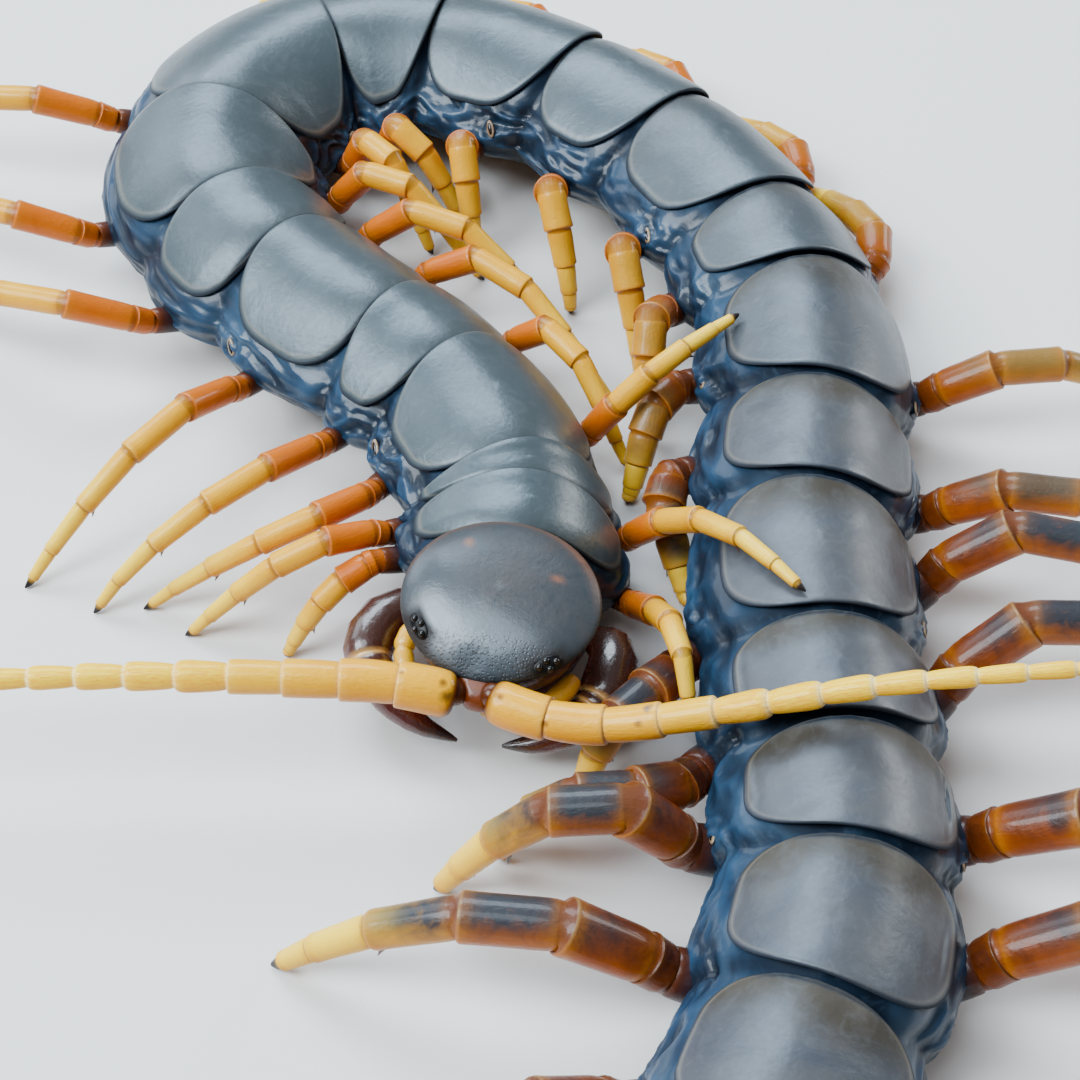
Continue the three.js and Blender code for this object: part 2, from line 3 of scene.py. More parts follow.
import bpy
import numpy as np
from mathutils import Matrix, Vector, noise


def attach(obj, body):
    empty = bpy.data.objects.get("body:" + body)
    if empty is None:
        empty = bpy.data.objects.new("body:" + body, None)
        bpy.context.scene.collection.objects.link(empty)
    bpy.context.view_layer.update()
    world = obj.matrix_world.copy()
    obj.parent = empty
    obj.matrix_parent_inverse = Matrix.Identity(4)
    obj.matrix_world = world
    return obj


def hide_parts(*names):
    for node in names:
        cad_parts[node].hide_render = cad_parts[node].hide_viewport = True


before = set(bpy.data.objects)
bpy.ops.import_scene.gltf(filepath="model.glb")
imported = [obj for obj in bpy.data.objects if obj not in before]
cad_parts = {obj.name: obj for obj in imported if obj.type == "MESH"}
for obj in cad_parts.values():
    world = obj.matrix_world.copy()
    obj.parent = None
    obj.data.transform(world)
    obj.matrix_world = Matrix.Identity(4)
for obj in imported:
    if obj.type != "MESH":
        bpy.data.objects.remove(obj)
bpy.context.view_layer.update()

bl_info = {
    "name": "Giant centipede",
    "version": (1, 0, 0),
    "blender": (4, 5, 0),
    "location": "3D View > Sidebar > Centipede",
    "description": "A life-size giant centipede, curled into a hook, dressed over its packed frame",
    "category": "Add Mesh",
}

# Sizes are in millimetres, as in the part's source, and turn into metres when a mesh is made
MM = 0.001
UP = np.array([0.0, 0.0, 1.0])

# Neck on the floor plan, its heading from head to tail, and the height of the trunk's axis
NECK = np.array([0.7, 5.6, 0.0])
NECK_HEADING = 86
NECK_LEAN = 12
AXIS_HEIGHT = 7.3

# Leg-bearing segments, head to tail: length, counterclockwise turn, width of the plate, lean at the rear
SEGMENTS = [
    (4.7, 5, 15.6, 12),
    (3.0, 13, 14.8, 13),
    (11.4, 23.5, 15.0, 11),
    (7.1, 12.5, 15.0, 7),
    (11.7, -4, 15.4, 6),
    (7.8, -15.5, 16.2, 6),
    (11.6, -40, 17.0, 7),
    (14.2, -57, 17.0, 3),
    (10.2, -37, 16.4, -8),
    (13.0, -23, 16.0, -13),
    (10.8, -11, 15.8, -13),
    (12.6, -18, 15.8, -12),
    (8.6, -11.5, 15.8, -10),
    (12.8, -20, 15.8, -7),
    (10.2, 1, 15.6, -5),
    (12.5, 9, 15.6, -5),
    (8.9, 0, 15.6, -6),
    (9.2, -9.5, 15.6, -4),
    (10.8, -14, 15.6, 0),
    (11.3, -4, 15.2, 1),
    (9.5, 0, 13.8, 1),
]
LAST = len(SEGMENTS) - 1
SEGMENTS_PER_NODE = 3
USUAL_WIDTH = 15.6

# Section of the trunk: heights from its axis, and the flank's distance beyond the plate
PLATE_TOP = 5.5
PLATE_DROP = 4.8
FLANK = [(-0.45, 0.1), (0.1, -0.75), (0.5, -1.7), (0.1, -3.0), (-0.9, -4.2)]
BELLY_HALF_WIDTH = 4.8
BELLY_LEVEL = -5.6

# Places along a segment, with the plate's lift, its share of the width and the flank's swelling there
PLACES = [0.02, 0.3, 0.74, 0.99]
LIFTS = [-0.45, -0.05, 0.05, 0.2]
WIDTHS = [0.92, 0.99, 1.0, 0.97]
SWELLS = [-0.55, 0.1, 0.4, -0.35]
TAIL_PLACES = [0.02, 0.4, 0.8, 0.97]
TAIL_LIFTS = [-0.45, 0.0, -0.15, -0.5]
TAIL_WIDTHS = [0.94, 0.99, 0.88, 0.74]
TAIL_SWELLS = [-0.45, -0.2, -1.1, -2.0]

# Leg roots on the flank: distance beyond the plate, depth under the axis and rise of the leg, and the last
# pair's distance out, depth and rise. A coxa's collar starts inside the trunk and ends at its face
ROOT_BEYOND_PLATE = 0.1
ROOT_DOWN = 3.3
ROOT_RISE = 22
LAST_ROOT = (3.9, 1.6, 3)
COXA_DEPTH = 3.6
COXA_FACE = 2.1
GAP = 0.3

# Leg radius at the prefemur for the first leg, for those from the thickest on, and for the last pair
LEG_RADIUS_FRONT = 1.15
LEG_RADIUS_REAR = 2.0
LEG_RADIUS_LAST = 2.3
THICKEST_LEG = 17

# Least height above the floor of the flesh and the collars, and of a leg's underside
LOWEST = 0.6
CLAW_CLEARANCE = 0.1

# Articles of a leg from root to claw: share of the length, radius as a share of the prefemur's
ARTICLES = [(0.06, 0.92), (0.2, 1.0), (0.22, 0.86), (0.21, 0.7), (0.17, 0.53), (0.1, 0.4), (0.04, 0.2)]

# Pose of each leg: place of the root, direction there and of the foot from straight out towards the
# tail, reach, height of the middle line a third and two thirds of the way, and at the foot
RIGHT_LEGS = [
    (0.45, -27, -30, 10, 5.6, 3.3, 0),
    (0.6, -24, -10, 17.7, 7.7, 4.1, 0),
    (0.6, -36, 4, 20, 7.5, 4, 0),
    (0.6, -13, 8, 22.8, 8, 5.2, 0),
    (0.6, -13, 1, 24.1, 8.5, 4.9, 0),
    (0.5, 4, 50, 24.6, 8.9, 6.1, 0),
    (0.38, -20, 31, 23.1, 9, 6.2, 0),
    (0.15, -35, -14, 25.1, 9, 6.4, 0),
    (0.6, -38, -78, 18, 5, 3, 0),
    (0.6, -30, -80, 17, 4.2, 2.5, 0),
    (0.6, -26, -82, 17, 3.8, 2.3, 0),
    (0.6, -27, -84, 16, 3.8, 2.3, 0),
    (0.6, -34, -84, 16, 4, 2.4, 0),
    (0.6, 8, -4, 22, 7.5, 5, 0),
    (0.6, 8, 3, 22.5, 8.4, 5.6, 0),
    (0.38, -32, 5, 25.2, 8.9, 6, 0),
    (0.36, -38, -2, 26.4, 9, 6, 0),
    (0.5, 8, 7, 28.2, 9.3, 6.5, 0),
    (0.42, -20, -7, 28.6, 9.5, 6.5, 0),
    (0.44, 10, 20, 27, 9, 6, 0),
    (0.95, 72, 78, 30, 6, 3.6, 0),
]
LEFT_LEGS = [
    (0.45, -52, -68, 15, 7.5, 9.6, 5),
    (0.6, -44, -55, 19.6, 10.9, 13.2, 13.2),
    (0.6, -40, -8, 14.9, 9.4, 10.8, 11.4),
    (0.6, -42, -84, 15.5, 7.2, 4.3, 0),
    (0.6, -34, -76, 21, 7.5, 4.5, 0),
    (0.48, -38, -58, 20, 8.5, 5.1, 0),
    (0.6, -28, -30, 16, 9, 5.4, 0),
    (0.6, -5, -2, 12, 9, 5.4, 0),
    (0.6, 0, 40, 9.5, 9, 5.4, 0),
    (0.6, 10, 28, 9, 9, 5.4, 0),
    (0.6, 25, 48, 10, 9, 5.4, 0),
    (0.6, 35, 60, 10, 9, 5.4, 0),
    (0.6, 35, 55, 10, 8, 4.8, 0),
    (0.6, 30, 52, 10, 6, 3.6, 0),
    (0.5, 38, 90, 9.6, 5.2, 2.5, 0),
    (0.88, 50, 46, 12.6, 6.4, 6, 0),
    (0.9, 46, 14, 15.4, 7.2, 6.8, 0),
    (0.76, 8, 5, 19, 11, 7, 0),
    (0.86, 12, 12, 28.3, 9.5, 6.2, 0),
    (0.76, 38, 50, 24, 9, 6, 0),
    (0.95, 72, 78, 30, 6, 3.6, 0),
]

# Legs from this segment on count as rear ones
FIRST_REAR = 12

# The two sides by the animal's own right and left
SIDES = [(1, "right"), (-1, "left")]

# Segments with a breathing hole on each side, counted from 0, the hole's place on them and how far it
# leans upwards, and the half sizes of its rim and its slit
SPIRACLE_SEGMENTS = [2, 4, 7, 9, 11, 13, 15, 17, 19]
SPIRACLE_SHARE = 0.78
SPIRACLE_HEIGHT = -1.05
SPIRACLE_BEYOND_PLATE = 0.62
SPIRACLE_LEAN = 0.55
SPIRACLE_RIM = (0.34, 0.78, 0.14)
SPIRACLE_SLIT = (0.19, 0.56, 0.1)
SLIT_PROUD = 0.09

# Skin of the trunk: how far it lies under the plates' faces, where its flank begins and ends along half a
# ring, how much closer its points are there, and how far the folds are drawn out along the trunk
UNDER_PLATE = 0.68
FLANK_FROM = 0.42
FLANK_TO = 0.76
FLANK_CROWDING = 3.0
FLOW_ALONG = 0.42

# Head: place ahead of the neck, turn from its heading, pitch and sizes
HEAD_AHEAD = 6.0
HEAD_TURN = -10
HEAD_PITCH = 14
CROWN_LEVEL = 12.8
HEAD_HALF_LENGTH = 5.85
HEAD_HALF_WIDTH = 7.1

# Eyes on the right, 1, and the left, -1: bearing from straight ahead, share of the head's outline and drop
# below the crown. The patch has half sizes outwards, along and up, and its four lenses lie out and along
EYE_BEARINGS = {1: 53, -1: 41}
EYE_AT = {1: 0.89, -1: 0.95}
EYE_DROP = {1: 1.0, -1: 1.12}
EYE_PATCH = (0.62, 1.1, 0.2)
EYE_RADIUS = 0.27
EYE_SPOTS = [(0.1, 0.62), (0.32, 0.02), (-0.3, -0.04), (0.02, -0.62)]

# Middle lines of feelers, poison claws and palps in the head's frame: distance ahead of its centre, distance
# to its right, height above the floor
ANTENNAE = {
    "right": [
        (6.9, 1.5, 8.65), (7.2, 3.6, 9.2), (7.6, 6.6, 9.6), (8.4, 9.9, 9.8), (9.8, 15.9, 10),
        (12.9, 28.7, 9.8), (16.7, 42.5, 9), (19.8, 53, 8),
    ],
    "left": [
        (6.65, -1.0, 8.85), (7.1, -3.2, 8.8), (7.3, -5.6, 8.8), (7.1, -9.2, 9.2), (6.4, -15.4, 11.6),
        (4.9, -26.1, 16.2), (3.1, -37.6, 19.4), (0.1, -49.6, 20.4), (-0.9, -53.5, 20.4),
    ],
}
FANGS = {
    "right": [
        (-3.4, 6.7, 4.3), (-2.0, 8.9, 4.5), (1.0, 9.7, 4.3), (3.9, 8.0, 3.8), (5.9, 4.8, 3.2),
        (6.5, 1.6, 2.8),
    ],
    "left": [
        (-3.4, -6.3, 4.3), (-2.2, -7.7, 4.7), (0.8, -7.8, 4.4), (3.4, -6.7, 3.9), (5.4, -4.4, 3.2),
        (6.2, -1.6, 2.8),
    ],
}
PALPS = {
    "right": [(-0.6, 6.5, 5.9), (0.9, 6.9, 5.5), (2.8, 6.4, 4.9), (4.6, 4.6, 4.5)],
    "left": [(1.6, -5.8, 6.1), (3.4, -4.8, 5.8), (5.2, -2.4, 5.2), (5.0, 0.4, 5.0)],
}

# Feelers: articles, how many at the root are smooth, how much longer the first are than the last, and the
# radius at the root and the tip of each
ANTENNA_ARTICLES = 17
SMOOTH_ARTICLES = 4
ANTENNA_CROWDING = 0.32
ANTENNA_RADII = {"right": (1.68, 0.4), "left": (1.6, 0.34)}

# Plate that carries the poison claws, by sections: place ahead, half width, lowest and highest level
CLAW_PLATE = [
    (-5.1, 5.0, 2.1, 4.9), (-3.8, 5.7, 1.8, 5.4), (-0.8, 4.9, 1.8, 5.4), (2.0, 3.0, 2.3, 5.0),
    (3.3, 2.3, 2.8, 4.5),
]

# Camera at the photograph's angle, with its frame taken as square
CAMERA_PLACE = (2.5, -98.16, 134.40)
CAMERA_TARGET = (2.5, 7.9, 8.0)
CAMERA_LENS = 75.35
SENSOR_WIDTH = 36

# Soft square lights of the studio, in metres and watts: place, size, power and colour
LIGHTS = {
    "sky_light": ((-0.2, 0.61, 0.7), (0.6, 0.4), 12.5, (0.74, 0.87, 1.0)),
    "key_light": ((-0.62, -0.14, 0.68), (0.5, 0.42), 15.0, (0.84, 0.93, 1.0)),
    "side_light": ((0.76, 0.46, 0.3), (0.3, 0.3), 4.0, (1.0, 0.98, 0.95)),
    "top_light": ((-0.3, -0.22, 0.95), (0.5, 0.5), 6.5, (0.8, 0.91, 1.0)),
    "back_light": ((-0.72, 0.62, 0.46), (0.55, 0.45), 4.5, (0.8, 0.9, 1.0)),
}
LIT_POINT = (0, 0, 0.01)
AIR_COLOUR = (0.78, 0.83, 0.9, 1)
AIR_STRENGTH = 0.35
FLOOR_REACH = 9000


def linear(colour):
    """Linear red, green and blue of a colour written as six hexadecimal digits."""
    parts = [(colour >> shift & 255) / 255 for shift in (16, 8, 0)]
    return tuple(c / 12.92 if c <= 0.04045 else ((c + 0.055) / 1.055) ** 2.4 for c in parts)


def unit(vector):
    """The vector at length 1."""
    return vector / np.linalg.norm(vector)


def smoothstep(low, high, value):
    """Smooth rise from 0 at low to 1 at high."""
    share = np.clip((np.asarray(value, float) - low) / (high - low), 0, 1)
    return share * share * (3 - 2 * share)


def blend(first, second, share):
    """Mix of two colours or points."""
    return np.asarray(first, float) * (1 - share) + np.asarray(second, float) * share


# Trunk's axis


def step_along(start, length, turn):
    """Place and heading after an arc of that length and turn."""
    x, y, heading = start
    if abs(turn) < 1e-6:
        return x + length * math.cos(heading), y + length * math.sin(heading), heading
    radius = length / turn
    return (
        x + radius * (math.sin(heading + turn) - math.sin(heading)),
        y - radius * (math.cos(heading + turn) - math.cos(heading)),
        heading + turn,
    )


def segment_starts():
    """Place and heading where each segment begins."""
    starts = [(NECK[0], NECK[1], math.radians(NECK_HEADING))]
    for length, turn, _, _ in SEGMENTS:
        starts.append(step_along(starts[-1], length, math.radians(turn)))
    return starts


STARTS = segment_starts()


def axis_frame(index, share):
    """Centre, direction to the tail, right side and up at a share of one segment."""
    length, turn, _, lean = SEGMENTS[index]
    before = SEGMENTS[index - 1][3] if index else NECK_LEAN
    tilt = math.radians(before + (lean - before) * max(share, 0))
    x, y, heading = step_along(STARTS[index], length * share, math.radians(turn) * share)
    tail = np.array([math.cos(heading), math.sin(heading), 0.0])
    level = np.array([-math.sin(heading), math.cos(heading), 0.0])
    right = level * math.cos(tilt) + UP * math.sin(tilt)
    return np.array([x, y, AXIS_HEIGHT]), tail, right, np.cross(tail, right)


def point_in(place, across, height):
    """Point of a section of the trunk."""
    centre, _, right, up = place
    return centre + right * across + up * height


def along_segment(index, share, usual, tail):
    """Value at a share of one segment, from the table of the usual segments or of the last."""
    if index == LAST:
        return float(np.interp(share, TAIL_PLACES, tail))
    return float(np.interp(share, PLACES, usual))


def plate_lift(index, share):
    """Lift of a back plate's face: low where it slides under the plate before it, raised at its rear edge."""
    if index == LAST:
        return along_segment(index, share, LIFTS, TAIL_LIFTS)
    gone = max(share, 0) * SEGMENTS[index][0]
    return 0.05 - 0.5 * math.exp(-gone / 1.1) + 0.15 * float(smoothstep(0.7, 1.0, share))


# Smooth paths


class Path:
    """A line of points that gives its point at a share of its length."""

    def __init__(self, points):
        self.points = np.asarray(points, float)
        steps = np.linalg.norm(np.diff(self.points, axis=0), axis=1)
        self.gone = np.concatenate([[0], np.cumsum(steps)])
        self.length = self.gone[-1]

    def at(self, share):
        where = np.clip(share, 0, 1) * self.length
        return np.array([np.interp(where, self.gone, self.points[:, axis]) for axis in range(3)])

    def direction(self, share):
        return unit(self.at(min(share + 0.004, 1)) - self.at(max(share - 0.004, 0)))


def bezier(start, first, second, end, steps=200):
    """Cubic curve through its two ends."""
    t = np.linspace(0, 1, steps + 1)[:, None]
    early = (1 - t) ** 3 * start + 3 * (1 - t) ** 2 * t * first
    return Path(early + 3 * (1 - t) * t * t * second + t ** 3 * end)


def through(points, steps=40):
    """Smooth curve through every point, eased by the distances between them."""
    known = [np.asarray(p, float) for p in points]
    known = [2 * known[0] - known[1], *known, 2 * known[-1] - known[-2]]
    made = [known[1]]
    for a, b, c, d in zip(known, known[1:], known[2:], known[3:]):
        before, here, after = (math.sqrt(np.linalg.norm(q - p)) for p, q in ((a, b), (b, c), (c, d)))
        leave = ((b - a) / before - (c - a) / (before + here) + (c - b) / here) * here
        reach = ((c - b) / here - (d - b) / (here + after) + (d - c) / after) * here
        for t in np.linspace(0, 1, steps + 1)[1:]:
            made.append(
                b + leave * t + (3 * (c - b) - 2 * leave - reach) * t * t
                + (2 * (b - c) + leave + reach) * t ** 3
            )
    return Path(made)


# Meshes


def put_attribute(mesh, name, values):
    """Stores a number or a colour for each vertex."""
    values = np.asarray(values, float)
    kind = "FLOAT" if values.ndim == 1 else ("FLOAT_COLOR" if values.shape[1] == 4 else "FLOAT_VECTOR")
    field = {"FLOAT": "value", "FLOAT_COLOR": "color", "FLOAT_VECTOR": "vector"}[kind]
    attribute = mesh.attributes.new(name, kind, "POINT")
    attribute.data.foreach_set(field, values.astype(np.float32).ravel())


def opaque(colours):
    """Colours with their fourth channel."""
    colours = np.asarray(colours, float)
    return np.concatenate([colours, np.ones((len(colours), 1))], axis=1)


def add_mesh(name, points, faces, finish=None, edges=(), **attributes):
    """New object from points in millimetres, with its attributes and finish."""
    mesh = bpy.data.meshes.new(name)
    mesh.from_pydata((np.asarray(points, float) * MM).tolist(), list(edges), faces)
    for key, values in attributes.items():
        put_attribute(mesh, key, values)
    if faces:
        mesh.shade_smooth()
    if finish:
        mesh.materials.append(finish)
    made = bpy.data.objects.new(name, mesh)
    bpy.context.scene.collection.objects.link(made)
    return made


def ring_faces(rings, sides, first=0, closed=True):
    """Faces between rings of equally many points, and fans of a middle point at both ends."""
    faces = []
    for r in range(rings - 1):
        for i in range(sides):
            a, b = first + r * sides + i, first + r * sides + (i + 1) % sides
            faces.append((a, b, b + sides, a + sides))
    if closed:
        last, middle = first + (rings - 1) * sides, first + rings * sides
        for i in range(sides):
            j = (i + 1) % sides
            faces.append((middle, first + j, first + i))
            faces.append((middle + 1, last + i, last + j))
    return faces


class Joined:
    """Points, faces and attributes of many closed shells that become one object."""

    def __init__(self):
        self.points, self.faces, self.values, self.count = [], [], {}, 0

    def add(self, rings, **attributes):
        """Adds one shell lofted through rings, closed to the middle of its first and last ring."""
        rings = np.asarray(rings, float)
        count, sides = rings.shape[:2]
        points = rings.reshape(-1, 3)
        caps = np.array([rings[0].mean(0), rings[-1].mean(0)])
        faces = ring_faces(count, sides, self.count)
        if signed_volume(rings) < 0:
            faces = [face[::-1] for face in faces]
        self.points.append(np.concatenate([points, caps]))
        self.faces += faces
        for key, values in attributes.items():
            values = np.asarray(values, float)
            ends = np.array([values[0].mean(0), values[-1].mean(0)])
            flat = values.reshape(count * sides, *values.shape[2:])
            self.values.setdefault(key, []).append(np.concatenate([flat, ends]))
        self.count += count * sides + 2

    def make(self, name, finish):
        """The one object."""
        joined = {key: np.concatenate(values) for key, values in self.values.items()}
        joined = {key: opaque(v) if v.ndim == 2 and v.shape[1] == 3 else v for key, v in joined.items()}
        return add_mesh(name, np.concatenate(self.points), self.faces, finish, **joined)


def signed_volume(rings):
    """Positive where the faces between rings point outwards."""
    middle = rings.reshape(-1, 3).mean(0)
    a = rings[:-1] - middle
    b = np.roll(rings, -1, axis=1)[:-1] - middle
    c = np.roll(rings, -1, axis=1)[1:] - middle
    return float(np.einsum("ijk,ijk->", a, np.cross(b, c)))


# Node trees


def add_node(tree, kind, inputs=None, **settings):
    """New node with its settings, and its inputs linked or set."""
    made = tree.nodes.new(kind)
    for key, value in settings.items():
        setattr(made, key, value)
    for key, value in (inputs or {}).items():
        if isinstance(value, bpy.types.NodeSocket):
            tree.links.new(value, made.inputs[key])
        else:
            made.inputs[key].default_value = value
    return made


def new_finish(name, **settings):
    """Material with a Principled shader, and its tree and shader."""
    finish = bpy.data.materials.new(name)
    finish.use_nodes = True
    tree = finish.node_tree
    shader = tree.nodes["Principled BSDF"]
    for key, value in settings.items():
        shader.inputs[key.replace("_", " ")].default_value = value
    return finish, tree, shader


def place_of(tree):
    """Object coordinates."""
    return add_node(tree, "ShaderNodeTexCoord").outputs["Object"]


def grain(tree, place, scale, detail=3.0, roughness=0.5, distortion=0.0):
    """Noise of about one spot in a metre divided by the scale."""
    return add_node(tree, "ShaderNodeTexNoise", {
        "Vector": place, "Scale": scale, "Detail": detail, "Roughness": roughness, "Distortion": distortion,
    }).outputs["Fac"]


def reading(tree, name):
    """Attribute node for the piece's own attribute."""
    return add_node(tree, "ShaderNodeAttribute", attribute_name=name)


def between(tree, value, low, high, new_low=0.0, new_high=1.0):
    """Value moved from one range to another, and kept inside it."""
    return add_node(tree, "ShaderNodeMapRange", {
        "Value": value, "From Min": low, "From Max": high, "To Min": new_low, "To Max": new_high,
    }).outputs["Result"]


def maths(tree, operation, first, second=0.5):
    """One sum on two values."""
    made = add_node(tree, "ShaderNodeMath", {0: first, 1: second}, operation=operation)
    return made.outputs["Value"]


def mixed(tree, share, first, second, way="MIX"):
    """Mix of two colours."""
    colours = {"A": first, "B": second}
    made = add_node(tree, "ShaderNodeMix", {0: share}, data_type="RGBA", blend_type=way)
    for socket, value in zip((made.inputs[6], made.inputs[7]), colours.values()):
        if isinstance(value, bpy.types.NodeSocket):
            tree.links.new(value, socket)
        else:
            socket.default_value = (*value[:3], 1)
    return made.outputs[2]


def raised(tree, height, distance, strength=1.0, under=None):
    """Bump of a height in metres, laid over another bump."""
    inputs = {"Height": height, "Distance": distance, "Strength": strength}
    if under is not None:
        inputs["Normal"] = under
    return add_node(tree, "ShaderNodeBump", inputs).outputs["Normal"]


def join(tree, shader, **sockets):
    """Links sockets to the shader's inputs."""
    for key, socket in sockets.items():
        tree.links.new(socket, shader.inputs[key.replace("_", " ")])


def dabbed(tree, colour, tone, pattern, low, high, most, way="MIX"):
    """The colour with a tone over it where the pattern passes from low to high, at most so strongly."""
    return mixed(tree, between(tree, pattern, low, high, 0, most), colour, tone, way)


def plus(tree, value, other, share):
    """The value with a share of another added."""
    return maths(tree, "ADD", value, maths(tree, "MULTIPLY", other, share))


def dulled(tree, dull, shine, coat):
    """Specular level and coat weight, each from its value where dull is 0 to its value where dull is 1."""
    return between(tree, dull, 0.0, 1.0, *shine), between(tree, dull, 0.0, 0.8, *coat)


# Finishes, whose fixed tones are in linear red, green and blue

SHELL_IOR = 1.5
SOFT_IOR = 1.45
PLATE_STAIN = (0.1, 0.085, 0.065)
PLATE_STREAK = (0.13, 0.145, 0.165)
PLATE_SPECK = (0.04, 0.044, 0.05)
# Painted shade of a plate's rim and underside
PLATE_EDGE_SHADE = (0.02, 0.025, 0.035)
# Painted highlight on the flank's fold crests, and painted shade in their creases
FOLD_HIGHLIGHT = (0.035, 0.075, 0.125)
FOLD_CREASE_SHADE = (0.004, 0.007, 0.013)
FLANK_PATCH = (0.007, 0.011, 0.02)
# Painted highlight on the crests of the flank's wrinkles
WRINKLE_HIGHLIGHT = (0.05, 0.09, 0.14)
BELLY_TONES = (0.11, 0.085, 0.055), (0.15, 0.14, 0.12)
BELLY_EDGE = (0.05, 0.045, 0.045)
BELLY_SPECK = (0.04, 0.03, 0.02)
HEAD_CLOUD = (0.056, 0.042, 0.035)
HEAD_SHADOW = (0.018, 0.022, 0.026)
HEAD_SPECK = (0.012, 0.013, 0.015)
LIMB_CLOUD = (0.8, 0.5, 0.25)
LIMB_SPECK = (0.2, 0.06, 0.01)
# Painted shade in the furrows of the limbs
LIMB_FURROW_SHADE = (0.95, 0.7, 0.35)
LENS_TONES = (0.003, 0.003, 0.0035), (0.01, 0.006, 0.004)
EYE_PATCH_TONES = (0.002, 0.002, 0.0024), (0.008, 0.007, 0.007)
FACE_CLOUD = (0.05, 0.018, 0.008)
FACE_SPECK = (0.01, 0.006, 0.005)
PALE_HORN_TONES = (0.30, 0.21, 0.12), (0.16, 0.085, 0.04)
DARK_HORN_TONES = (0.035, 0.012, 0.006), (0.08, 0.03, 0.012)
FLOOR_TONES = (0.70, 0.69, 0.675), (0.74, 0.73, 0.715)


def plate_finish():
    """Satin slate shell of the back plates, glossier on the front ones, with painted shade darkening the rim
    and underside.
    """
    finish, tree, shader = new_finish(
        "back_plate_shell", IOR=SHELL_IOR, Coat_Roughness=0.3, Specular_Tint=(0.72, 0.88, 1.0, 1.0))
    place = place_of(tree)
    tint = reading(tree, "tint").outputs["Color"]
    edge = reading(tree, "edge").outputs["Fac"]
    matte = reading(tree, "matte").outputs["Fac"]
    dull = reading(tree, "dull").outputs["Fac"]
    clouds = grain(tree, place, 190, 4, 0.55, 0.6)
    specks = grain(tree, place, 2600, 2, 0.5)
    streaks = grain(tree, place, 700, 3, 0.6, 1.2)
    stains = maths(
        tree, "MULTIPLY", between(tree, clouds, 0.4, 0.8, 0, 0.35), maths(tree, "ADD", matte, 0.15))
    colour = mixed(tree, stains, tint, PLATE_STAIN)
    colour = dabbed(tree, colour, PLATE_STREAK, streaks, 0.5, 0.8, 0.2)
    colour = dabbed(tree, colour, PLATE_SPECK, specks, 0.62, 0.75, 0.3)
    # Painted shade: the rim and underside darkened
    colour = dabbed(tree, colour, PLATE_EDGE_SHADE, edge, 0.0, 1.0, 0.8)
    cloudy = between(tree, clouds, 0.3, 0.7, 0.28, 0.38)
    rough = maths(tree, "ADD", cloudy, between(tree, specks, 0.3, 0.7, 0, 0.06))
    rough = plus(tree, plus(tree, rough, matte, 0.08), dull, 0.15)
    shine, coat = dulled(tree, dull, (0.5, 0.06), (0.16, 0.0))
    bump = raised(tree, specks, 0.00004, 0.5)
    bump = raised(tree, streaks, 0.00005, 0.35, bump)
    bump = raised(tree, clouds, 0.00022, 0.4, bump)
    join(tree, shader, Base_Color=colour, Roughness=rough, Normal=bump)
    join(tree, shader, Specular_IOR_Level=shine, Coat_Weight=coat)
    return finish


def membrane_finish():
    """Wet navy membrane of the flanks, with folds that run along the trunk, painted highlights on their
    crests and painted shade in their creases.
    """
    finish, tree, shader = new_finish("flank_membrane", IOR=SOFT_IOR, Coat_Roughness=0.1)
    place = place_of(tree)
    flow = reading(tree, "flow").outputs["Vector"]
    tint = reading(tree, "tint").outputs["Color"]
    dull = reading(tree, "dull").outputs["Fac"]
    folds = grain(tree, flow, 300, 2, 0.4, 1.2)
    wrinkles = grain(tree, flow, 1100, 2, 0.45, 1.6)
    patches = grain(tree, place, 170, 3, 0.5)
    # Painted highlights on the crests of the folds and wrinkles, painted shade in the folds' creases
    colour = dabbed(tree, tint, FOLD_HIGHLIGHT, folds, 0.5, 0.72, 0.5)
    colour = mixed(tree, between(tree, folds, 0.34, 0.46, 0.6, 0), colour, FOLD_CREASE_SHADE)
    colour = dabbed(tree, colour, FLANK_PATCH, patches, 0.5, 0.72, 0.5)
    colour = dabbed(tree, colour, WRINKLE_HIGHLIGHT, wrinkles, 0.6, 0.78, 0.25)
    rough = plus(tree, between(tree, folds, 0.3, 0.7, 0.42, 0.3), dull, 0.2)
    shine, coat = dulled(tree, dull, (0.22, 0.08), (0.2, 0.0))
    bump = raised(tree, wrinkles, 0.00005, 0.5)
    bump = raised(tree, folds, 0.00035, 0.75, bump)
    join(tree, shader, Base_Color=colour, Roughness=rough, Normal=bump)
    join(tree, shader, Specular_IOR_Level=shine, Coat_Weight=coat)
    return finish


def belly_finish():
    """Paler horn-like shell of the belly plates."""
    finish, tree, shader = new_finish("belly_plate_shell", IOR=SHELL_IOR, Coat_Weight=0.2, Coat_Roughness=0.3)
    place = place_of(tree)
    clouds = grain(tree, place, 240, 4, 0.55, 0.5)
    specks = grain(tree, place, 2200, 2, 0.5)
    edge = reading(tree, "edge").outputs["Fac"]
    colour = mixed(tree, between(tree, clouds, 0.3, 0.7), *BELLY_TONES)
    colour = dabbed(tree, colour, BELLY_EDGE, edge, 0.8, 1.0, 0.7)
    colour = dabbed(tree, colour, BELLY_SPECK, specks, 0.6, 0.75, 0.3)
    rough = between(tree, clouds, 0.3, 0.7, 0.34, 0.45)
    bump = raised(tree, specks, 0.00004, 0.6)
    bump = raised(tree, clouds, 0.0002, 0.4, bump)
    join(tree, shader, Base_Color=colour, Roughness=rough, Normal=bump)
    return finish


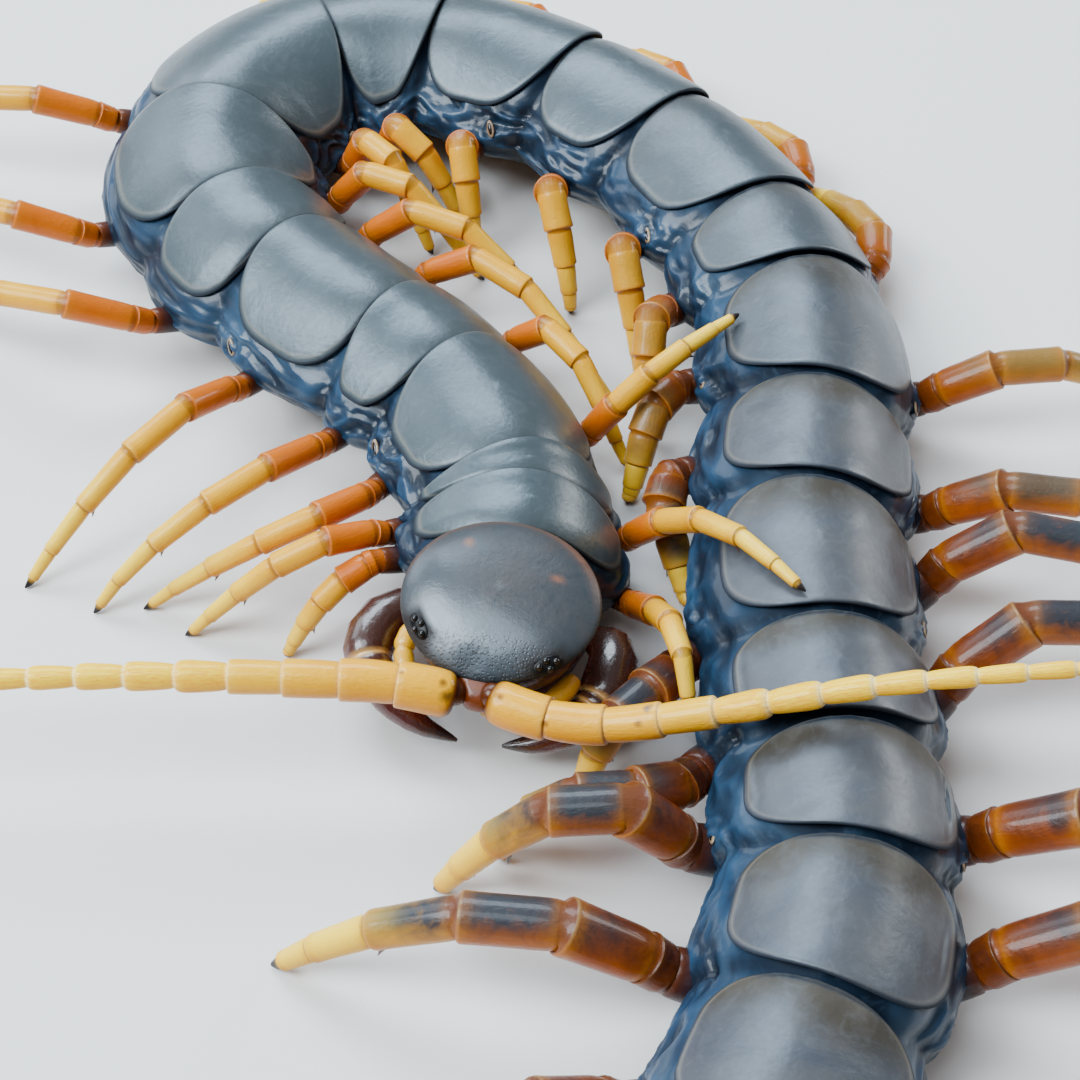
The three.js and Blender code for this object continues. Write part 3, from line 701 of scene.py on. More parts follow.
def head_finish():
    """Dark satin shell of the head, pitted towards the front."""
    finish, tree, shader = new_finish(
        "head_shell", IOR=SHELL_IOR, Coat_Roughness=0.2, Specular_Tint=(0.68, 0.86, 1.0, 1.0))
    place = place_of(tree)
    tint = reading(tree, "tint").outputs["Color"]
    pitted = reading(tree, "pitted").outputs["Fac"]
    dull = reading(tree, "dull").outputs["Fac"]
    clouds = grain(tree, place, 260, 5, 0.6, 0.8)
    specks = grain(tree, place, 3200, 2, 0.6)
    shadows = grain(tree, place, 430, 4, 0.6, 1.5)
    pits = add_node(tree, "ShaderNodeTexVoronoi", {"Vector": place, "Scale": 4200}).outputs["Distance"]
    hollow = between(tree, pits, 0.1, 0.45)
    shallow = add_node(tree, "ShaderNodeMix", {0: pitted, 2: 1.0, 3: hollow}).outputs[0]
    colour = dabbed(tree, tint, HEAD_CLOUD, clouds, 0.35, 0.72, 0.6)
    colour = dabbed(tree, colour, HEAD_SHADOW, shadows, 0.5, 0.75, 0.5)
    colour = dabbed(tree, colour, HEAD_SPECK, specks, 0.6, 0.75, 0.35)
    rough = plus(tree, between(tree, clouds, 0.3, 0.7, 0.26, 0.36), pitted, 0.04)
    rough = plus(tree, rough, dull, 0.2)
    shine, coat = dulled(tree, dull, (0.55, 0.1), (0.4, 0.0))
    bump = raised(tree, specks, 0.00004, 0.45)
    bump = raised(tree, clouds, 0.00022, 0.3, bump)
    bump = raised(tree, shallow, 0.00006, 0.9, bump)
    join(tree, shader, Base_Color=colour, Roughness=rough, Normal=bump)
    join(tree, shader, Specular_IOR_Level=shine, Coat_Weight=coat)
    return finish


def face_finish():
    """Brown, polished shell of the cheeks and face."""
    finish, tree, shader = new_finish(
        "face_shell", IOR=SHELL_IOR, Specular_IOR_Level=0.15, Coat_Weight=0.25, Coat_Roughness=0.06)
    place = place_of(tree)
    tint = reading(tree, "tint").outputs["Color"]
    clouds = grain(tree, place, 500, 4, 0.6, 0.6)
    specks = grain(tree, place, 3000, 2, 0.5)
    colour = dabbed(tree, tint, FACE_CLOUD, clouds, 0.35, 0.7, 0.6)
    colour = dabbed(tree, colour, FACE_SPECK, specks, 0.62, 0.75, 0.3)
    rough = between(tree, clouds, 0.3, 0.7, 0.24, 0.4)
    bump = raised(tree, specks, 0.00004, 0.5)
    bump = raised(tree, clouds, 0.00012, 0.5, bump)
    join(tree, shader, Base_Color=colour, Roughness=rough, Normal=bump)
    return finish


def flecked(tree, place, colour, clouds, flecks):
    """The colour with ragged flecks, each given by its place, radius and tone."""
    for middle, radius, tone in flecks:
        inputs = {0: place, 1: tuple(middle)}
        away = add_node(tree, "ShaderNodeVectorMath", inputs, operation="DISTANCE").outputs["Value"]
        ragged = maths(tree, "ADD", away, between(tree, clouds, 0.3, 0.7, -0.4 * radius, 0.4 * radius))
        colour = mixed(tree, between(tree, ragged, 0.4 * radius, radius, 0.8, 0), colour, tone)
    return colour


def limb_finish(name, roughness, grooved, flecks=(), **settings):
    """Waxy shell of legs, feelers and jaws, whose colours come along the limb and from its upper side, where
    paler tops are a painted sheen, with painted shade in its furrows.
    """
    finish, tree, shader = new_finish(name, IOR=SHELL_IOR, **settings)
    place = place_of(tree)
    side = reading(tree, "tint").outputs["Color"]
    top = reading(tree, "top_tint").outputs["Color"]
    upper = reading(tree, "upper").outputs["Fac"]
    matte = reading(tree, "matte").outputs["Fac"]
    round_way = reading(tree, "round_way").outputs["Vector"]
    along = maths(tree, "MULTIPLY", reading(tree, "along").outputs["Fac"], 0.22)
    lifted = add_node(tree, "ShaderNodeCombineXYZ", {"Z": along}).outputs["Vector"]
    unrolled = add_node(tree, "ShaderNodeVectorMath", {0: round_way, 1: lifted}, operation="ADD")
    furrows = grain(tree, unrolled.outputs["Vector"], 7.0, 3, 0.6, 0.3)
    clouds = grain(tree, place, 420, 4, 0.6, 0.8)
    specks = grain(tree, place, 3400, 2, 0.5)
    streaks = grain(tree, place, 1300, 3, 0.6, 1.5)
    # Side and top colour mixed by how far the surface faces up: the top colour holds the painted sheen of
    # feelers, leg ends and jaws, and the rear legs' own dark tops
    wavering = maths(tree, "ADD", upper, between(tree, clouds, 0.3, 0.7, -0.22, 0.22))
    colour = mixed(tree, between(tree, wavering, 0.0, 0.8), side, top)
    colour = dabbed(tree, colour, LIMB_CLOUD, clouds, 0.45, 0.75, 0.3, "MULTIPLY")
    colour = dabbed(tree, colour, LIMB_SPECK, specks, 0.68, 0.78, 0.35)
    # Painted shade in the low parts of the furrows' relief
    shaded = between(tree, furrows, 0.56, 0.38, 0, grooved)
    shaded = maths(tree, "MULTIPLY", shaded, maths(tree, "ADD", matte, 0.25))
    colour = mixed(tree, shaded, colour, LIMB_FURROW_SHADE, "MULTIPLY")
    colour = flecked(tree, place, colour, clouds, flecks)
    rough = between(tree, streaks, 0.3, 0.7, roughness - 0.05, roughness + 0.07)
    rough = plus(tree, rough, matte, 0.25)
    bump = raised(tree, specks, 0.00003, 0.5)
    bump = raised(tree, streaks, 0.00007, 0.5, bump)
    bump = raised(tree, furrows, 0.00012 * grooved, 0.8, bump)
    join(tree, shader, Base_Color=colour, Roughness=rough, Normal=bump)
    return finish


def cloudy_finish(name, tones, first, cloud, roughness, relief=0.0, **settings):
    """Shell that passes between two tones from that level of its clouds on, with their relief in metres."""
    finish, tree, shader = new_finish(name, **settings)
    clouds = grain(tree, place_of(tree), *cloud)
    colour = mixed(tree, between(tree, clouds, first, 0.7), *tones)
    join(tree, shader, Base_Color=colour, Roughness=between(tree, clouds, 0.3, 0.7, *roughness))
    if relief:
        join(tree, shader, Normal=raised(tree, clouds, relief, 0.5))
    return finish


def eye_finish():
    """Glossy black lens with a faint amber depth."""
    return cloudy_finish(
        "eye_lens", LENS_TONES, 0.4, (1500, 3, 0.5), (0.1, 0.18), IOR=SHELL_IOR, Specular_IOR_Level=0.35)


def eye_patch_finish():
    """Black shell round the simple eyes."""
    return cloudy_finish(
        "eye_patch_shell", EYE_PATCH_TONES, 0.4, (2400, 3, 0.5), (0.3, 0.42), 0.00004,
        IOR=SOFT_IOR, Specular_IOR_Level=0.2)


def horn_finish():
    """Pale brown horn of the rims of the breathing holes."""
    return cloudy_finish(
        "pale_horn", PALE_HORN_TONES, 0.3, (900, 4, 0.6), (0.3, 0.45), 0.00005,
        IOR=SHELL_IOR, Coat_Weight=0.3, Coat_Roughness=0.2)


def spur_finish():
    """Dark brown horn of the spurs."""
    return cloudy_finish(
        "dark_horn", DARK_HORN_TONES, 0.3, (1200, 3, 0.6), (0.22, 0.36),
        IOR=SHELL_IOR, Coat_Weight=0.4, Coat_Roughness=0.15)


def floor_finish():
    """Pale, even studio floor."""
    finish, tree, shader = new_finish("studio_floor", Roughness=0.7)
    join(tree, shader, Base_Color=mixed(tree, grain(tree, place_of(tree), 14, 3, 0.5), *FLOOR_TONES))
    return finish



# Geometry Nodes


def new_tree(name, sides):
    """Tree that takes points, a number of sides and a finish, and the sockets where they enter."""
    tree = bpy.data.node_groups.new(name, "GeometryNodeTree")
    for key, kind in (("Points", "Geometry"), ("Sides", "Int"), ("Finish", "Material")):
        tree.interface.new_socket(key, in_out="INPUT", socket_type=f"NodeSocket{kind}")
    tree.interface.items_tree["Sides"].default_value = sides
    return tree, add_node(tree, "NodeGroupInput").outputs


def named(tree, name, kind="FLOAT_VECTOR"):
    """Named attribute of the points."""
    return add_node(tree, "GeometryNodeInputNamedAttribute", {"Name": name}, data_type=kind).outputs[0]


def stored(tree, geometry, name, value, kind):
    """The geometry with a value stored for each point."""
    inputs = {"Geometry": geometry, "Name": name, "Value": value}
    made = add_node(tree, "GeometryNodeStoreNamedAttribute", inputs, data_type=kind, domain="POINT")
    return made.outputs["Geometry"]


def end_tree(tree, geometry, finish):
    """Gives out the geometry made real, smooth and dressed."""
    tree.interface.new_socket("Made", in_out="OUTPUT", socket_type="NodeSocketGeometry")
    real = add_node(tree, "GeometryNodeRealizeInstances", {"Geometry": geometry}).outputs["Geometry"]
    smooth = add_node(tree, "GeometryNodeSetShadeSmooth", {"Geometry": real}).outputs["Geometry"]
    dressed = add_node(tree, "GeometryNodeSetMaterial", {"Geometry": smooth, "Material": finish})
    add_node(tree, "NodeGroupOutput", {"Made": dressed.outputs["Geometry"]})


def sweep_tree(name):
    """Tree that sweeps a round section along a line of points, as thick as the line's girth says."""
    tree, enter = new_tree(name, 24)
    curve = add_node(tree, "GeometryNodeMeshToCurve", {"Mesh": enter["Points"]})
    section = add_node(tree, "GeometryNodeCurvePrimitiveCircle", {
        "Resolution": enter["Sides"], "Radius": 1.0,
    })
    around = add_node(tree, "GeometryNodeInputPosition").outputs["Position"]
    marked = stored(tree, section.outputs["Curve"], "round_way", around, "FLOAT_VECTOR")
    swept_mesh = add_node(tree, "GeometryNodeCurveToMesh", {
        "Curve": curve.outputs["Curve"], "Profile Curve": marked, "Scale": named(tree, "girth", "FLOAT"),
        "Fill Caps": True,
    })
    # upper tells how far the surface faces up; the finish mixes the top colour and its painted sheen by it
    normal = add_node(tree, "GeometryNodeInputNormal").outputs["Normal"]
    parts = add_node(tree, "ShaderNodeSeparateXYZ", {"Vector": normal})
    kept = stored(tree, swept_mesh.outputs["Mesh"], "upper", parts.outputs["Z"], "FLOAT")
    end_tree(tree, kept, enter["Finish"])
    return tree


def bead_tree(name, pointed):
    """Tree that sets a bead or a spur on each point, turned to face where the point says."""
    tree, enter = new_tree(name, 12)
    turned = add_node(tree, "FunctionNodeAlignRotationToVector", {"Vector": named(tree, "facing")}, axis="Z")
    if pointed:
        shape = add_node(tree, "GeometryNodeMeshCone", {
            "Vertices": enter["Sides"], "Side Segments": 4, "Radius Top": 0.06, "Radius Bottom": 1.0,
            "Depth": 2.0,
        })
    else:
        shape = add_node(tree, "GeometryNodeMeshUVSphere", {
            "Segments": enter["Sides"], "Rings": 8, "Radius": 1.0,
        })
    laid = add_node(tree, "GeometryNodeInstanceOnPoints", {
        "Points": enter["Points"], "Instance": shape.outputs["Mesh"],
        "Rotation": turned.outputs["Rotation"], "Scale": named(tree, "size"),
    })
    end_tree(tree, laid.outputs["Instances"], enter["Finish"])
    return tree


def tree_named(name, make, *values):
    """A node tree that is made once."""
    return bpy.data.node_groups.get(name) or make(name, *values)


def grown(thing, tree, sides, finish):
    """The object as the tree makes it, as a plain mesh."""
    modifier = thing.modifiers.new(tree.name, "NODES")
    modifier.node_group = tree
    sockets = {item.name: item.identifier for item in tree.interface.items_tree}
    modifier[sockets["Sides"]] = sides
    modifier[sockets["Finish"]] = finish
    graph = bpy.context.evaluated_depsgraph_get()
    mesh = bpy.data.meshes.new_from_object(
        thing.evaluated_get(graph), preserve_all_data_layers=True, depsgraph=graph)
    thing.modifiers.clear()
    thing.data = mesh
    return thing


def swept(name, stations, sides, finish):
    """Limb swept through stations of point, radius, side colour, top colour that is partly a painted sheen,
    and mattness.
    """
    points, radii, side_tints, top_tints, mattes = zip(*stations)
    steps = np.linalg.norm(np.diff(np.array(points), axis=0), axis=1)
    line = add_mesh(
        name, points, [], edges=[(i, i + 1) for i in range(len(points) - 1)],
        girth=np.array(radii) * MM, tint=opaque(side_tints), top_tint=opaque(top_tints), matte=mattes,
        along=np.concatenate([[0], np.cumsum(steps)]),
    )
    return grown(line, tree_named("swept_limb", sweep_tree), sides, finish)


def set_beads(name, places, finish, sides=12, pointed=False):
    """Beads or spurs at places of point, direction they face, and size."""
    tree = tree_named("set_spurs" if pointed else "set_beads", bead_tree, pointed)
    points, facings, sizes = zip(*places)
    spots = add_mesh(name, points, [], facing=facings, size=np.array(sizes, float) * MM)
    return grown(spots, tree, sides, finish)


def finished(piece, slot, *nodes):
    """Puts a piece on the body, in place of its nodes."""
    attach(piece, "root")
    if nodes:
        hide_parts(*nodes)
    return piece


def settings():
    """The user's sizes and colours."""
    return bpy.context.scene.centipede


# Trunk

# Edge of the flesh's belly: distance beyond the belly plate's half width and above its level, and the
# middle's rise
BELLY_CORNERS = [(0.2, 0.35), (-1, 0.1)]
BELLY_RISE = 0.12

# Folds of the flank in millimetres: large and small, whorls round a breathing hole and how far they reach,
# swelling round a leg's root, crease at a border, and the bare strip beside the rear plates' left margin
LARGE_FOLD = 0.36
SMALL_FOLD = 0.12
WHORL = 0.14
WHORL_REACH = 4
ROOT_SWELL = 0.45
BORDER_CREASE = -0.3
BARE_STRIP = 0.5

# Rear segments have rougher plates and darker legs than front ones, and the change runs between these two
REAR_FROM = 9
REAR_TO = 15

# Neck and end of the flesh: the neck's distance ahead of the first segment, its drop and shares of the
# first ring's size, the middle ring's share of the way, the end's size and its distance on
NECK_AHEAD = 1.9
NECK_DROP = 1.0
NECK_SIZE = np.array([0.62, 0.62, 0.5])
NECK_MIDDLE = 0.55
END_SIZE = 0.55
END_ON = 0.3


def rearness(index):
    """How much a segment is like the rear ones, from 0 to 1."""
    return float(smoothstep(REAR_FROM, REAR_TO, index))


def skin_section(index, share):
    """Half of a ring of the flesh, from the middle of the back to the middle of the belly."""
    half = SEGMENTS[index][2] / 2
    lift = along_segment(index, share, LIFTS, TAIL_LIFTS)
    swell = along_segment(index, share, SWELLS, TAIL_SWELLS)
    widen = along_segment(index, share, WIDTHS, TAIL_WIDTHS)
    depth = math.sqrt(SEGMENTS[index][2] / USUAL_WIDTH)
    narrow = min(0, swell + 0.6)
    top = PLATE_TOP - UNDER_PLATE
    outline = [(0, top + lift)]
    for reach in (0.4, 0.76):
        outline.append((half * reach * widen, top - PLATE_DROP * reach * reach + lift))
    outline += [(half + beyond + swell, height) for beyond, height in FLANK]
    outline += [(BELLY_HALF_WIDTH + out + narrow, BELLY_LEVEL + above) for out, above in BELLY_CORNERS]
    outline += [(0, BELLY_LEVEL + BELLY_RISE)]
    return [(across, height * depth) for across, height in outline]


def eased(values, passes):
    """Values smoothed along their first axis, with the ends kept."""
    values = values.copy()
    for _ in range(passes):
        values[1:-1] = (values[:-2] + 2 * values[1:-1] + values[2:]) / 4
    return values


def trunk_rings(step, half_count):
    """Smooth grid of the flesh before its folds: spots of segment, share and distance, and their sections."""
    places, gone = [], 0.0
    for index, (length, _, _, _) in enumerate(SEGMENTS):
        count = max(4, round(length / step))
        places += [(index, (i + 0.5) / count, gone + length * (i + 0.5) / count) for i in range(count)]
        gone += length
    places = [p for p in places if p[0] < LAST or p[1] < TAIL_PLACES[-1]]
    shares = np.linspace(0, 1, 400)
    crowding = np.cumsum(np.where((shares > FLANK_FROM) & (shares < FLANK_TO), FLANK_CROWDING, 1))
    spread = np.interp(np.linspace(crowding[0], crowding[-1], half_count), crowding, shares)
    sections = []
    for index, share, _ in places:
        outline = np.array([(0.0, *p) for p in skin_section(index, share)])
        line = through(outline, 8)
        sections.append([line.at(t)[1:] for t in spread])
    return places, eased(np.array(sections), 3)


def fold_depth(gone, height, side, whorls):
    """How far a fold of the flank stands out at a distance from the neck and a height, in millimetres."""
    warp = noise.noise(Vector((gone * 0.2, height * 0.3, 20 + 5 * side)))
    slow = noise.noise(Vector((gone * 0.17 + 0.8 * warp, height * 0.75 + 1.3 * warp, 9.0 * side)))
    quick = noise.noise(Vector((gone * 0.5 + warp, height * 1.5 + warp, 31 + 9.0 * side)))
    fold = LARGE_FOLD * (0.4 - 2 * abs(slow)) + SMALL_FOLD * (0.4 - 2 * abs(quick))
    for middle in whorls:
        away = math.hypot(gone - middle, height - SPIRACLE_HEIGHT)
        fold += WHORL * math.cos(5.5 * away) * math.exp(-(away / 1.7) ** 2)
    return fold


def skin_ring(spot, section, roots, whorls):
    """One ring of the flesh with its folds: points, tints, places along its flow and dullness."""
    own = settings()
    index, share, gone = spot
    width = SEGMENTS[index][2]
    place = axis_frame(index, share)
    border = min(share, 1 - share) * SEGMENTS[index][0]
    near_whorls = [middle for middle in whorls if abs(middle - gone) < WHORL_REACH]
    last = len(section) - 1
    points, tints, flows, dulls = [], [], [], []
    for side, order in ((1, range(last + 1)), (-1, range(last - 1, 0, -1))):
        for across, height in (section[n] for n in order):
            flat = point_in(place, side * across, height)
            flank = float(smoothstep(1.4, 0.2, height) * smoothstep(-5.5, -4.6, height))
            fold = fold_depth(gone, height, side, near_whorls) * flank * own.fold_depth
            nearest = np.linalg.norm(roots - flat, axis=1).min()
            swell = ROOT_SWELL * math.exp(-(nearest / 2.8) ** 2) * flank
            crease = BORDER_CREASE * math.exp(-(border / 0.6) ** 2) * flank
            bare = max(-side, 0) * rearness(index)
            height += BARE_STRIP * bare * math.exp(-((across / width - 0.45) / 0.05) ** 2)
            points.append(point_in(place, side * (across + fold + swell + crease), height + 0.5 * fold))
            # Raised folds turn paler: a painted highlight on their crests
            tone = blend(own.membrane_deep, own.membrane_fold_highlight, min(max(0.35 + fold * 2.6, 0), 1))
            # Painted shade in the crease at each segment border, and painted shade towards the belly
            tone = blend(tone, own.membrane_shade, 0.7 * math.exp(-(border / 0.8) ** 2))
            tints.append(blend(tone, own.membrane_shade, 0.6 * float(smoothstep(-3.4, -5.4, height))))
            flows.append((gone * FLOW_ALONG * MM, height * MM, side * across * MM * 0.5))
            dulls.append(float(smoothstep(1.6, 2.8, height)))
    return points, tints, flows, dulls


def skin_ends(first, start, last):
    """Rings that close the flesh: two from the neck to its first ring, centred at start, and the tail's."""
    ahead = axis_frame(0, -NECK_AHEAD / SEGMENTS[0][0])[0]
    shape = first - start
    shape[:, 2] -= NECK_DROP
    neck = ahead + UP * NECK_DROP + shape * NECK_SIZE
    centre, tail = axis_frame(LAST, 1.0)[:2]
    end = centre + (last - last.mean(0)) * END_SIZE + tail * END_ON
    return [neck, blend(neck, first, NECK_MIDDLE)], [end]


class CENTIPEDE_OT_trunk(bpy.types.Operator):
    """Makes the blue flesh of the trunk as one skin from the neck to the tail"""

    bl_idname = "centipede.trunk"
    bl_label = "Trunk's flesh"

    def execute(self, context):
        own = settings()
        spots, sections = trunk_rings(own.skin_step / MM, own.skin_sides // 2 + 1)
        roots = np.array([leg_root(index, side)[0] for index in range(len(SEGMENTS)) for side in (1, -1)])
        starts = np.concatenate([[0], np.cumsum([segment[0] for segment in SEGMENTS])])
        whorls = [starts[index] + SEGMENTS[index][0] * SPIRACLE_SHARE for index in SPIRACLE_SEGMENTS]
        made = [skin_ring(spot, section, roots, whorls) for spot, section in zip(spots, sections)]
        rings, tints, flows, dulls = (list(values) for values in zip(*made))
        front, rear = skin_ends(np.array(rings[0]), axis_frame(*spots[0][:2])[0], np.array(rings[-1]))
        rings = np.array([*front, *rings, *rear])
        rings[:, :, 2] = np.maximum(rings[:, :, 2], LOWEST)
        tints, flows, dulls = (
            np.array([values[0]] * len(front) + values + [values[-1]] * len(rear))
            for values in (tints, flows, dulls)
        )
        skin = Joined()
        skin.add(rings, tint=tints, dull=dulls)
        trunk = skin.make("trunk_flesh", membrane_finish())
        flat = flows.reshape(-1, 3)
        put_attribute(trunk.data, "flow", np.concatenate([flat, flat[:1], flat[-1:]]))
        nodes = [f"trunk_{n + 1}" for n in range(len(SEGMENTS) // SEGMENTS_PER_NODE)]
        finished(trunk, "trunk_shell", *nodes)
        return {"FINISHED"}


# Back plates and belly plates

# Rings of a plate from its middle over the rim to its underside: share of the outline, height from its
# face as a share of the thickness
PLATE_RINGS = [
    (0.0, 0), (0.1, 0), (0.2, 0), (0.3, 0), (0.4, 0), (0.5, 0), (0.58, 0), (0.66, 0), (0.72, 0), (0.78, 0),
    (0.82, 0), (0.86, 0), (0.89, 0), (0.91, 0), (0.93, 0), (0.947, -0.01), (0.96, -0.03), (0.971, -0.07),
    (0.98, -0.13), (0.988, -0.21), (0.994, -0.31), (0.998, -0.42), (1.0, -0.55), (0.998, -0.7), (0.99, -0.86),
    (0.975, -0.96), (0.94, -1.0), (0.85, -1.1), (0.6, -1.2), (0.3, -1.2), (0.0, -1.2),
]
PLATE_THICKNESS = 0.42
FRONT_SQUARENESS = 3.8
REAR_SQUARENESS = 2.8

# A plate's overlap on the next one, and on rear plates the groove at the front and the bare left share
PLATE_OVERLAP = 0.35
TAIL_PLATE_END = 1.04
OPEN_GROOVE = 0.75
BARE_FLANK = 0.13

# Relief of a plate in millimetres: waves, finer waves and two dents at the front, and folds by the margins
# at a share of the half width, with their depth and half width, and how strong they are on each segment
PLATE_WAVE = 0.11
PLATE_RIPPLE = 0.05
PLATE_DENT = -0.2
PLATE_FOLDS = [(0.79, -0.2, 0.035), (0.88, -0.26, 0.03)]
FOLD_STRENGTH = {15: 0.7, 16: 1.2, 17: 2.0, 18: 0.9, 19: 0.6}
USUAL_FOLD = 0.4
LEFT_FOLD = 0.45

# Belly plate's rings from its middle over the rim: share of the outline, and height over the belly
BELLY_RINGS = [
    (0, 0.3), (0.5, 0.3), (0.8, 0.29), (0.93, 0.24), (1.0, 0.1), (0.96, -0.1), (0.7, -0.2), (0, -0.2),
]
BELLY_SIDES = 40
BELLY_HALF_LENGTH = 0.46
BELLY_MARGIN = 0.5
TAIL_BELLY = 0.62


def plate_outline(sides):
    """Round-cornered outline of a plate, as shares of its half length, forwards positive, and half width."""
    outline = []
    for angle in np.linspace(0, 2 * math.pi, sides, endpoint=False):
        c, s = math.cos(angle), math.sin(angle)
        power = 2 / (FRONT_SQUARENESS if c > 0 else REAR_SQUARENESS)
        outline.append((math.copysign(abs(c) ** power, c), math.copysign(abs(s) ** power, s)))
    return outline


def plate_relief(index, ahead, side, rough):
    """Relief of a plate in millimetres: waves, two dents at the front and folds by the margins."""
    length, _, width, _ = SEGMENTS[index]
    forward, across = ahead * length / 2, side * width / 2
    waves = PLATE_WAVE * noise.noise(Vector((forward * 0.2, across * 0.24, index * 2.7)))
    waves += PLATE_RIPPLE * rough * noise.noise(Vector((forward * 0.6, across * 0.7, index * 5.1)))
    dents = PLATE_DENT * math.exp(-((ahead - 0.5) / 0.2) ** 2 - ((abs(side) - 0.6) / 0.13) ** 2)
    bend = 0.04 * noise.noise(Vector((forward * 0.4, side * 0.5, index * 1.9)))
    folds = 0.0
    for at, deep, wide in PLATE_FOLDS:
        folds += deep * math.exp(-((abs(side) - at - bend) / wide) ** 2)
    reach = math.exp(-((ahead - 0.1) / 0.42) ** 2) * (1.0 if side > 0 else LEFT_FOLD)
    return waves + dents * rough + folds * rough * reach * FOLD_STRENGTH.get(index, USUAL_FOLD)


def plate_looks(index, ahead, across, share, raise_, tone):
    """Tint and dullness at a point of a plate: brown to the front, painted shade in the groove, and a painted
    highlight along the margin.
    """
    own = settings()
    length = SEGMENTS[index][0]
    rough = rearness(index)
    forward, side = ahead * share, across * share * (1 - BARE_FLANK * rough * (across < 0))
    brown = float(smoothstep(0.2, 0.8, forward + 0.12 * math.sin(5 * side + index)))
    tint = blend(tone, own.plate_front_edge, brown * (0.15 + 0.7 * rough))
    # The plate's front takes the flank's navy and its shade where it slides under the plate before it: partly
    # the membrane seen in the groove, partly painted shade
    crease = float(smoothstep(-0.75, -0.35, -(1 - forward) * length / 2)) * (index > 0)
    groove = blend(own.membrane_shade, own.membrane_deep, 0.7 * rough)
    tint = blend(tint, groove, 0.9 * crease)
    # Pale line by the margin: a painted highlight where the rim turns down
    line = math.exp(-((share - 0.958) / 0.011) ** 2) * (0.25 + 0.75 * abs(across) ** 3) * (raise_ > -0.1)
    under = float(smoothstep(-0.05, -0.25, raise_))
    return blend(tint, own.plate_margin_highlight, 0.45 * line), max(crease, 0.5 * brown * rough, under)


def back_plate(index, sides):
    """Rings of one back plate, and its tints, edge shares, dullness and mattness."""
    own = settings()
    length, _, width, _ = SEGMENTS[index]
    depth = math.sqrt(width / USUAL_WIDTH)
    outline = plate_outline(sides)
    rough = rearness(index)
    front = OPEN_GROOVE * rough / length
    rear = 1.0 + PLATE_OVERLAP / length if index < LAST else TAIL_PLATE_END
    paler = 0.94 + 0.12 * noise.noise(Vector((index * 3.7, 0.5, 0.5)))
    tone = blend(own.plate_front, own.plate_rear, rough) * paler
    rings, tints, edges, dulls = [], [], [], []
    for share, raise_ in PLATE_RINGS:
        ring, looks = [], []
        for ahead, across in outline:
            along = (front + rear) / 2 - ahead * share * (rear - front) / 2
            inside = min(max(along, 0.0), 1.0)
            side = across * share * (1 - BARE_FLANK * rough * (across < 0))
            widen = along_segment(index, inside, WIDTHS, TAIL_WIDTHS)
            relief = plate_relief(index, ahead * share, side, rough) if raise_ > -0.3 else 0
            height = PLATE_TOP - PLATE_DROP * side * side + plate_lift(index, inside)
            height = height + raise_ * PLATE_THICKNESS + relief
            ring.append(point_in(axis_frame(index, along), side * (width / 2) * widen, height * depth))
            looks.append(plate_looks(index, ahead, across, share, raise_, tone))
        rings.append(ring)
        tints.append([tint for tint, _ in looks])
        dulls.append([dull for _, dull in looks])
        # edge marks the rim and underside, which the finish darkens as painted shade
        edges.append([float(smoothstep(-0.1, -0.3, raise_))] * sides)
    return rings, {"tint": tints, "edge": edges, "dull": dulls, "matte": [[rough] * sides] * len(rings)}


class CENTIPEDE_OT_back_plates(bpy.types.Operator):
    """Makes the shell plates along the back, each overlapping the next"""

    bl_idname = "centipede.back_plates"
    bl_label = "Back plates"

    def execute(self, context):
        own = settings()
        plates = Joined()
        for index in range(len(SEGMENTS)):
            rings, looks = back_plate(index, own.plate_sides)
            plates.add(rings, **looks)
        finished(plates.make("back_plates", plate_finish()), "trunk_shell")
        return {"FINISHED"}


class CENTIPEDE_OT_belly_plates(bpy.types.Operator):
    """Makes the shell plates under the belly"""

    bl_idname = "centipede.belly_plates"
    bl_label = "Belly plates"

    def execute(self, context):
        outline = plate_outline(BELLY_SIDES)
        plates = Joined()
        for index, (_, _, width, _) in enumerate(SEGMENTS):
            level = (BELLY_LEVEL + BELLY_RISE) * math.sqrt(width / USUAL_WIDTH)
            narrow = TAIL_BELLY if index == LAST else 1.0
            rings = []
            for share, raise_ in BELLY_RINGS:
                ring = []
                for ahead, across in outline:
                    place = axis_frame(index, 0.5 - ahead * share * BELLY_HALF_LENGTH)
                    side = across * share * (BELLY_HALF_WIDTH - BELLY_MARGIN) * narrow
                    ring.append(point_in(place, side, level - raise_))
                rings.append(ring)
            plates.add(rings, edge=[[share] * BELLY_SIDES for share, _ in BELLY_RINGS])
        finished(plates.make("belly_plates", belly_finish()), "trunk_shell")
        return {"FINISHED"}


class CENTIPEDE_OT_spiracles(bpy.types.Operator):
    """Sets the breathing holes on the flanks, each a dark slit in a pale rim"""

    bl_idname = "centipede.spiracles"
    bl_label = "Breathing holes"

    def execute(self, context):
        rims, slits = [], []
        for index in SPIRACLE_SEGMENTS:
            place = axis_frame(index, SPIRACLE_SHARE)
            out = SEGMENTS[index][2] / 2 + SPIRACLE_BEYOND_PLATE
            for side in (1, -1):
                point = point_in(place, side * out, SPIRACLE_HEIGHT)
                facing = unit(place[2] * side + place[3] * SPIRACLE_LEAN)
                rims.append((point, facing, SPIRACLE_RIM))
                slits.append((point + facing * SLIT_PROUD, facing, SPIRACLE_SLIT))
        finished(set_beads("spiracle_rims", rims, horn_finish()), "trunk_shell")
        finished(set_beads("spiracle_slits", slits, eye_finish()), "trunk_shell")
        return {"FINISHED"}


# Legs

# Radius of each article of a leg at its start and end, as a share of the prefemur's
ARTICLE_GIRTHS = [
    (0.88, 0.92), (0.92, 1.0), (0.86, 0.86), (0.76, 0.68), (0.6, 0.5), (0.46, 0.36), (0.3, 0.1),
]

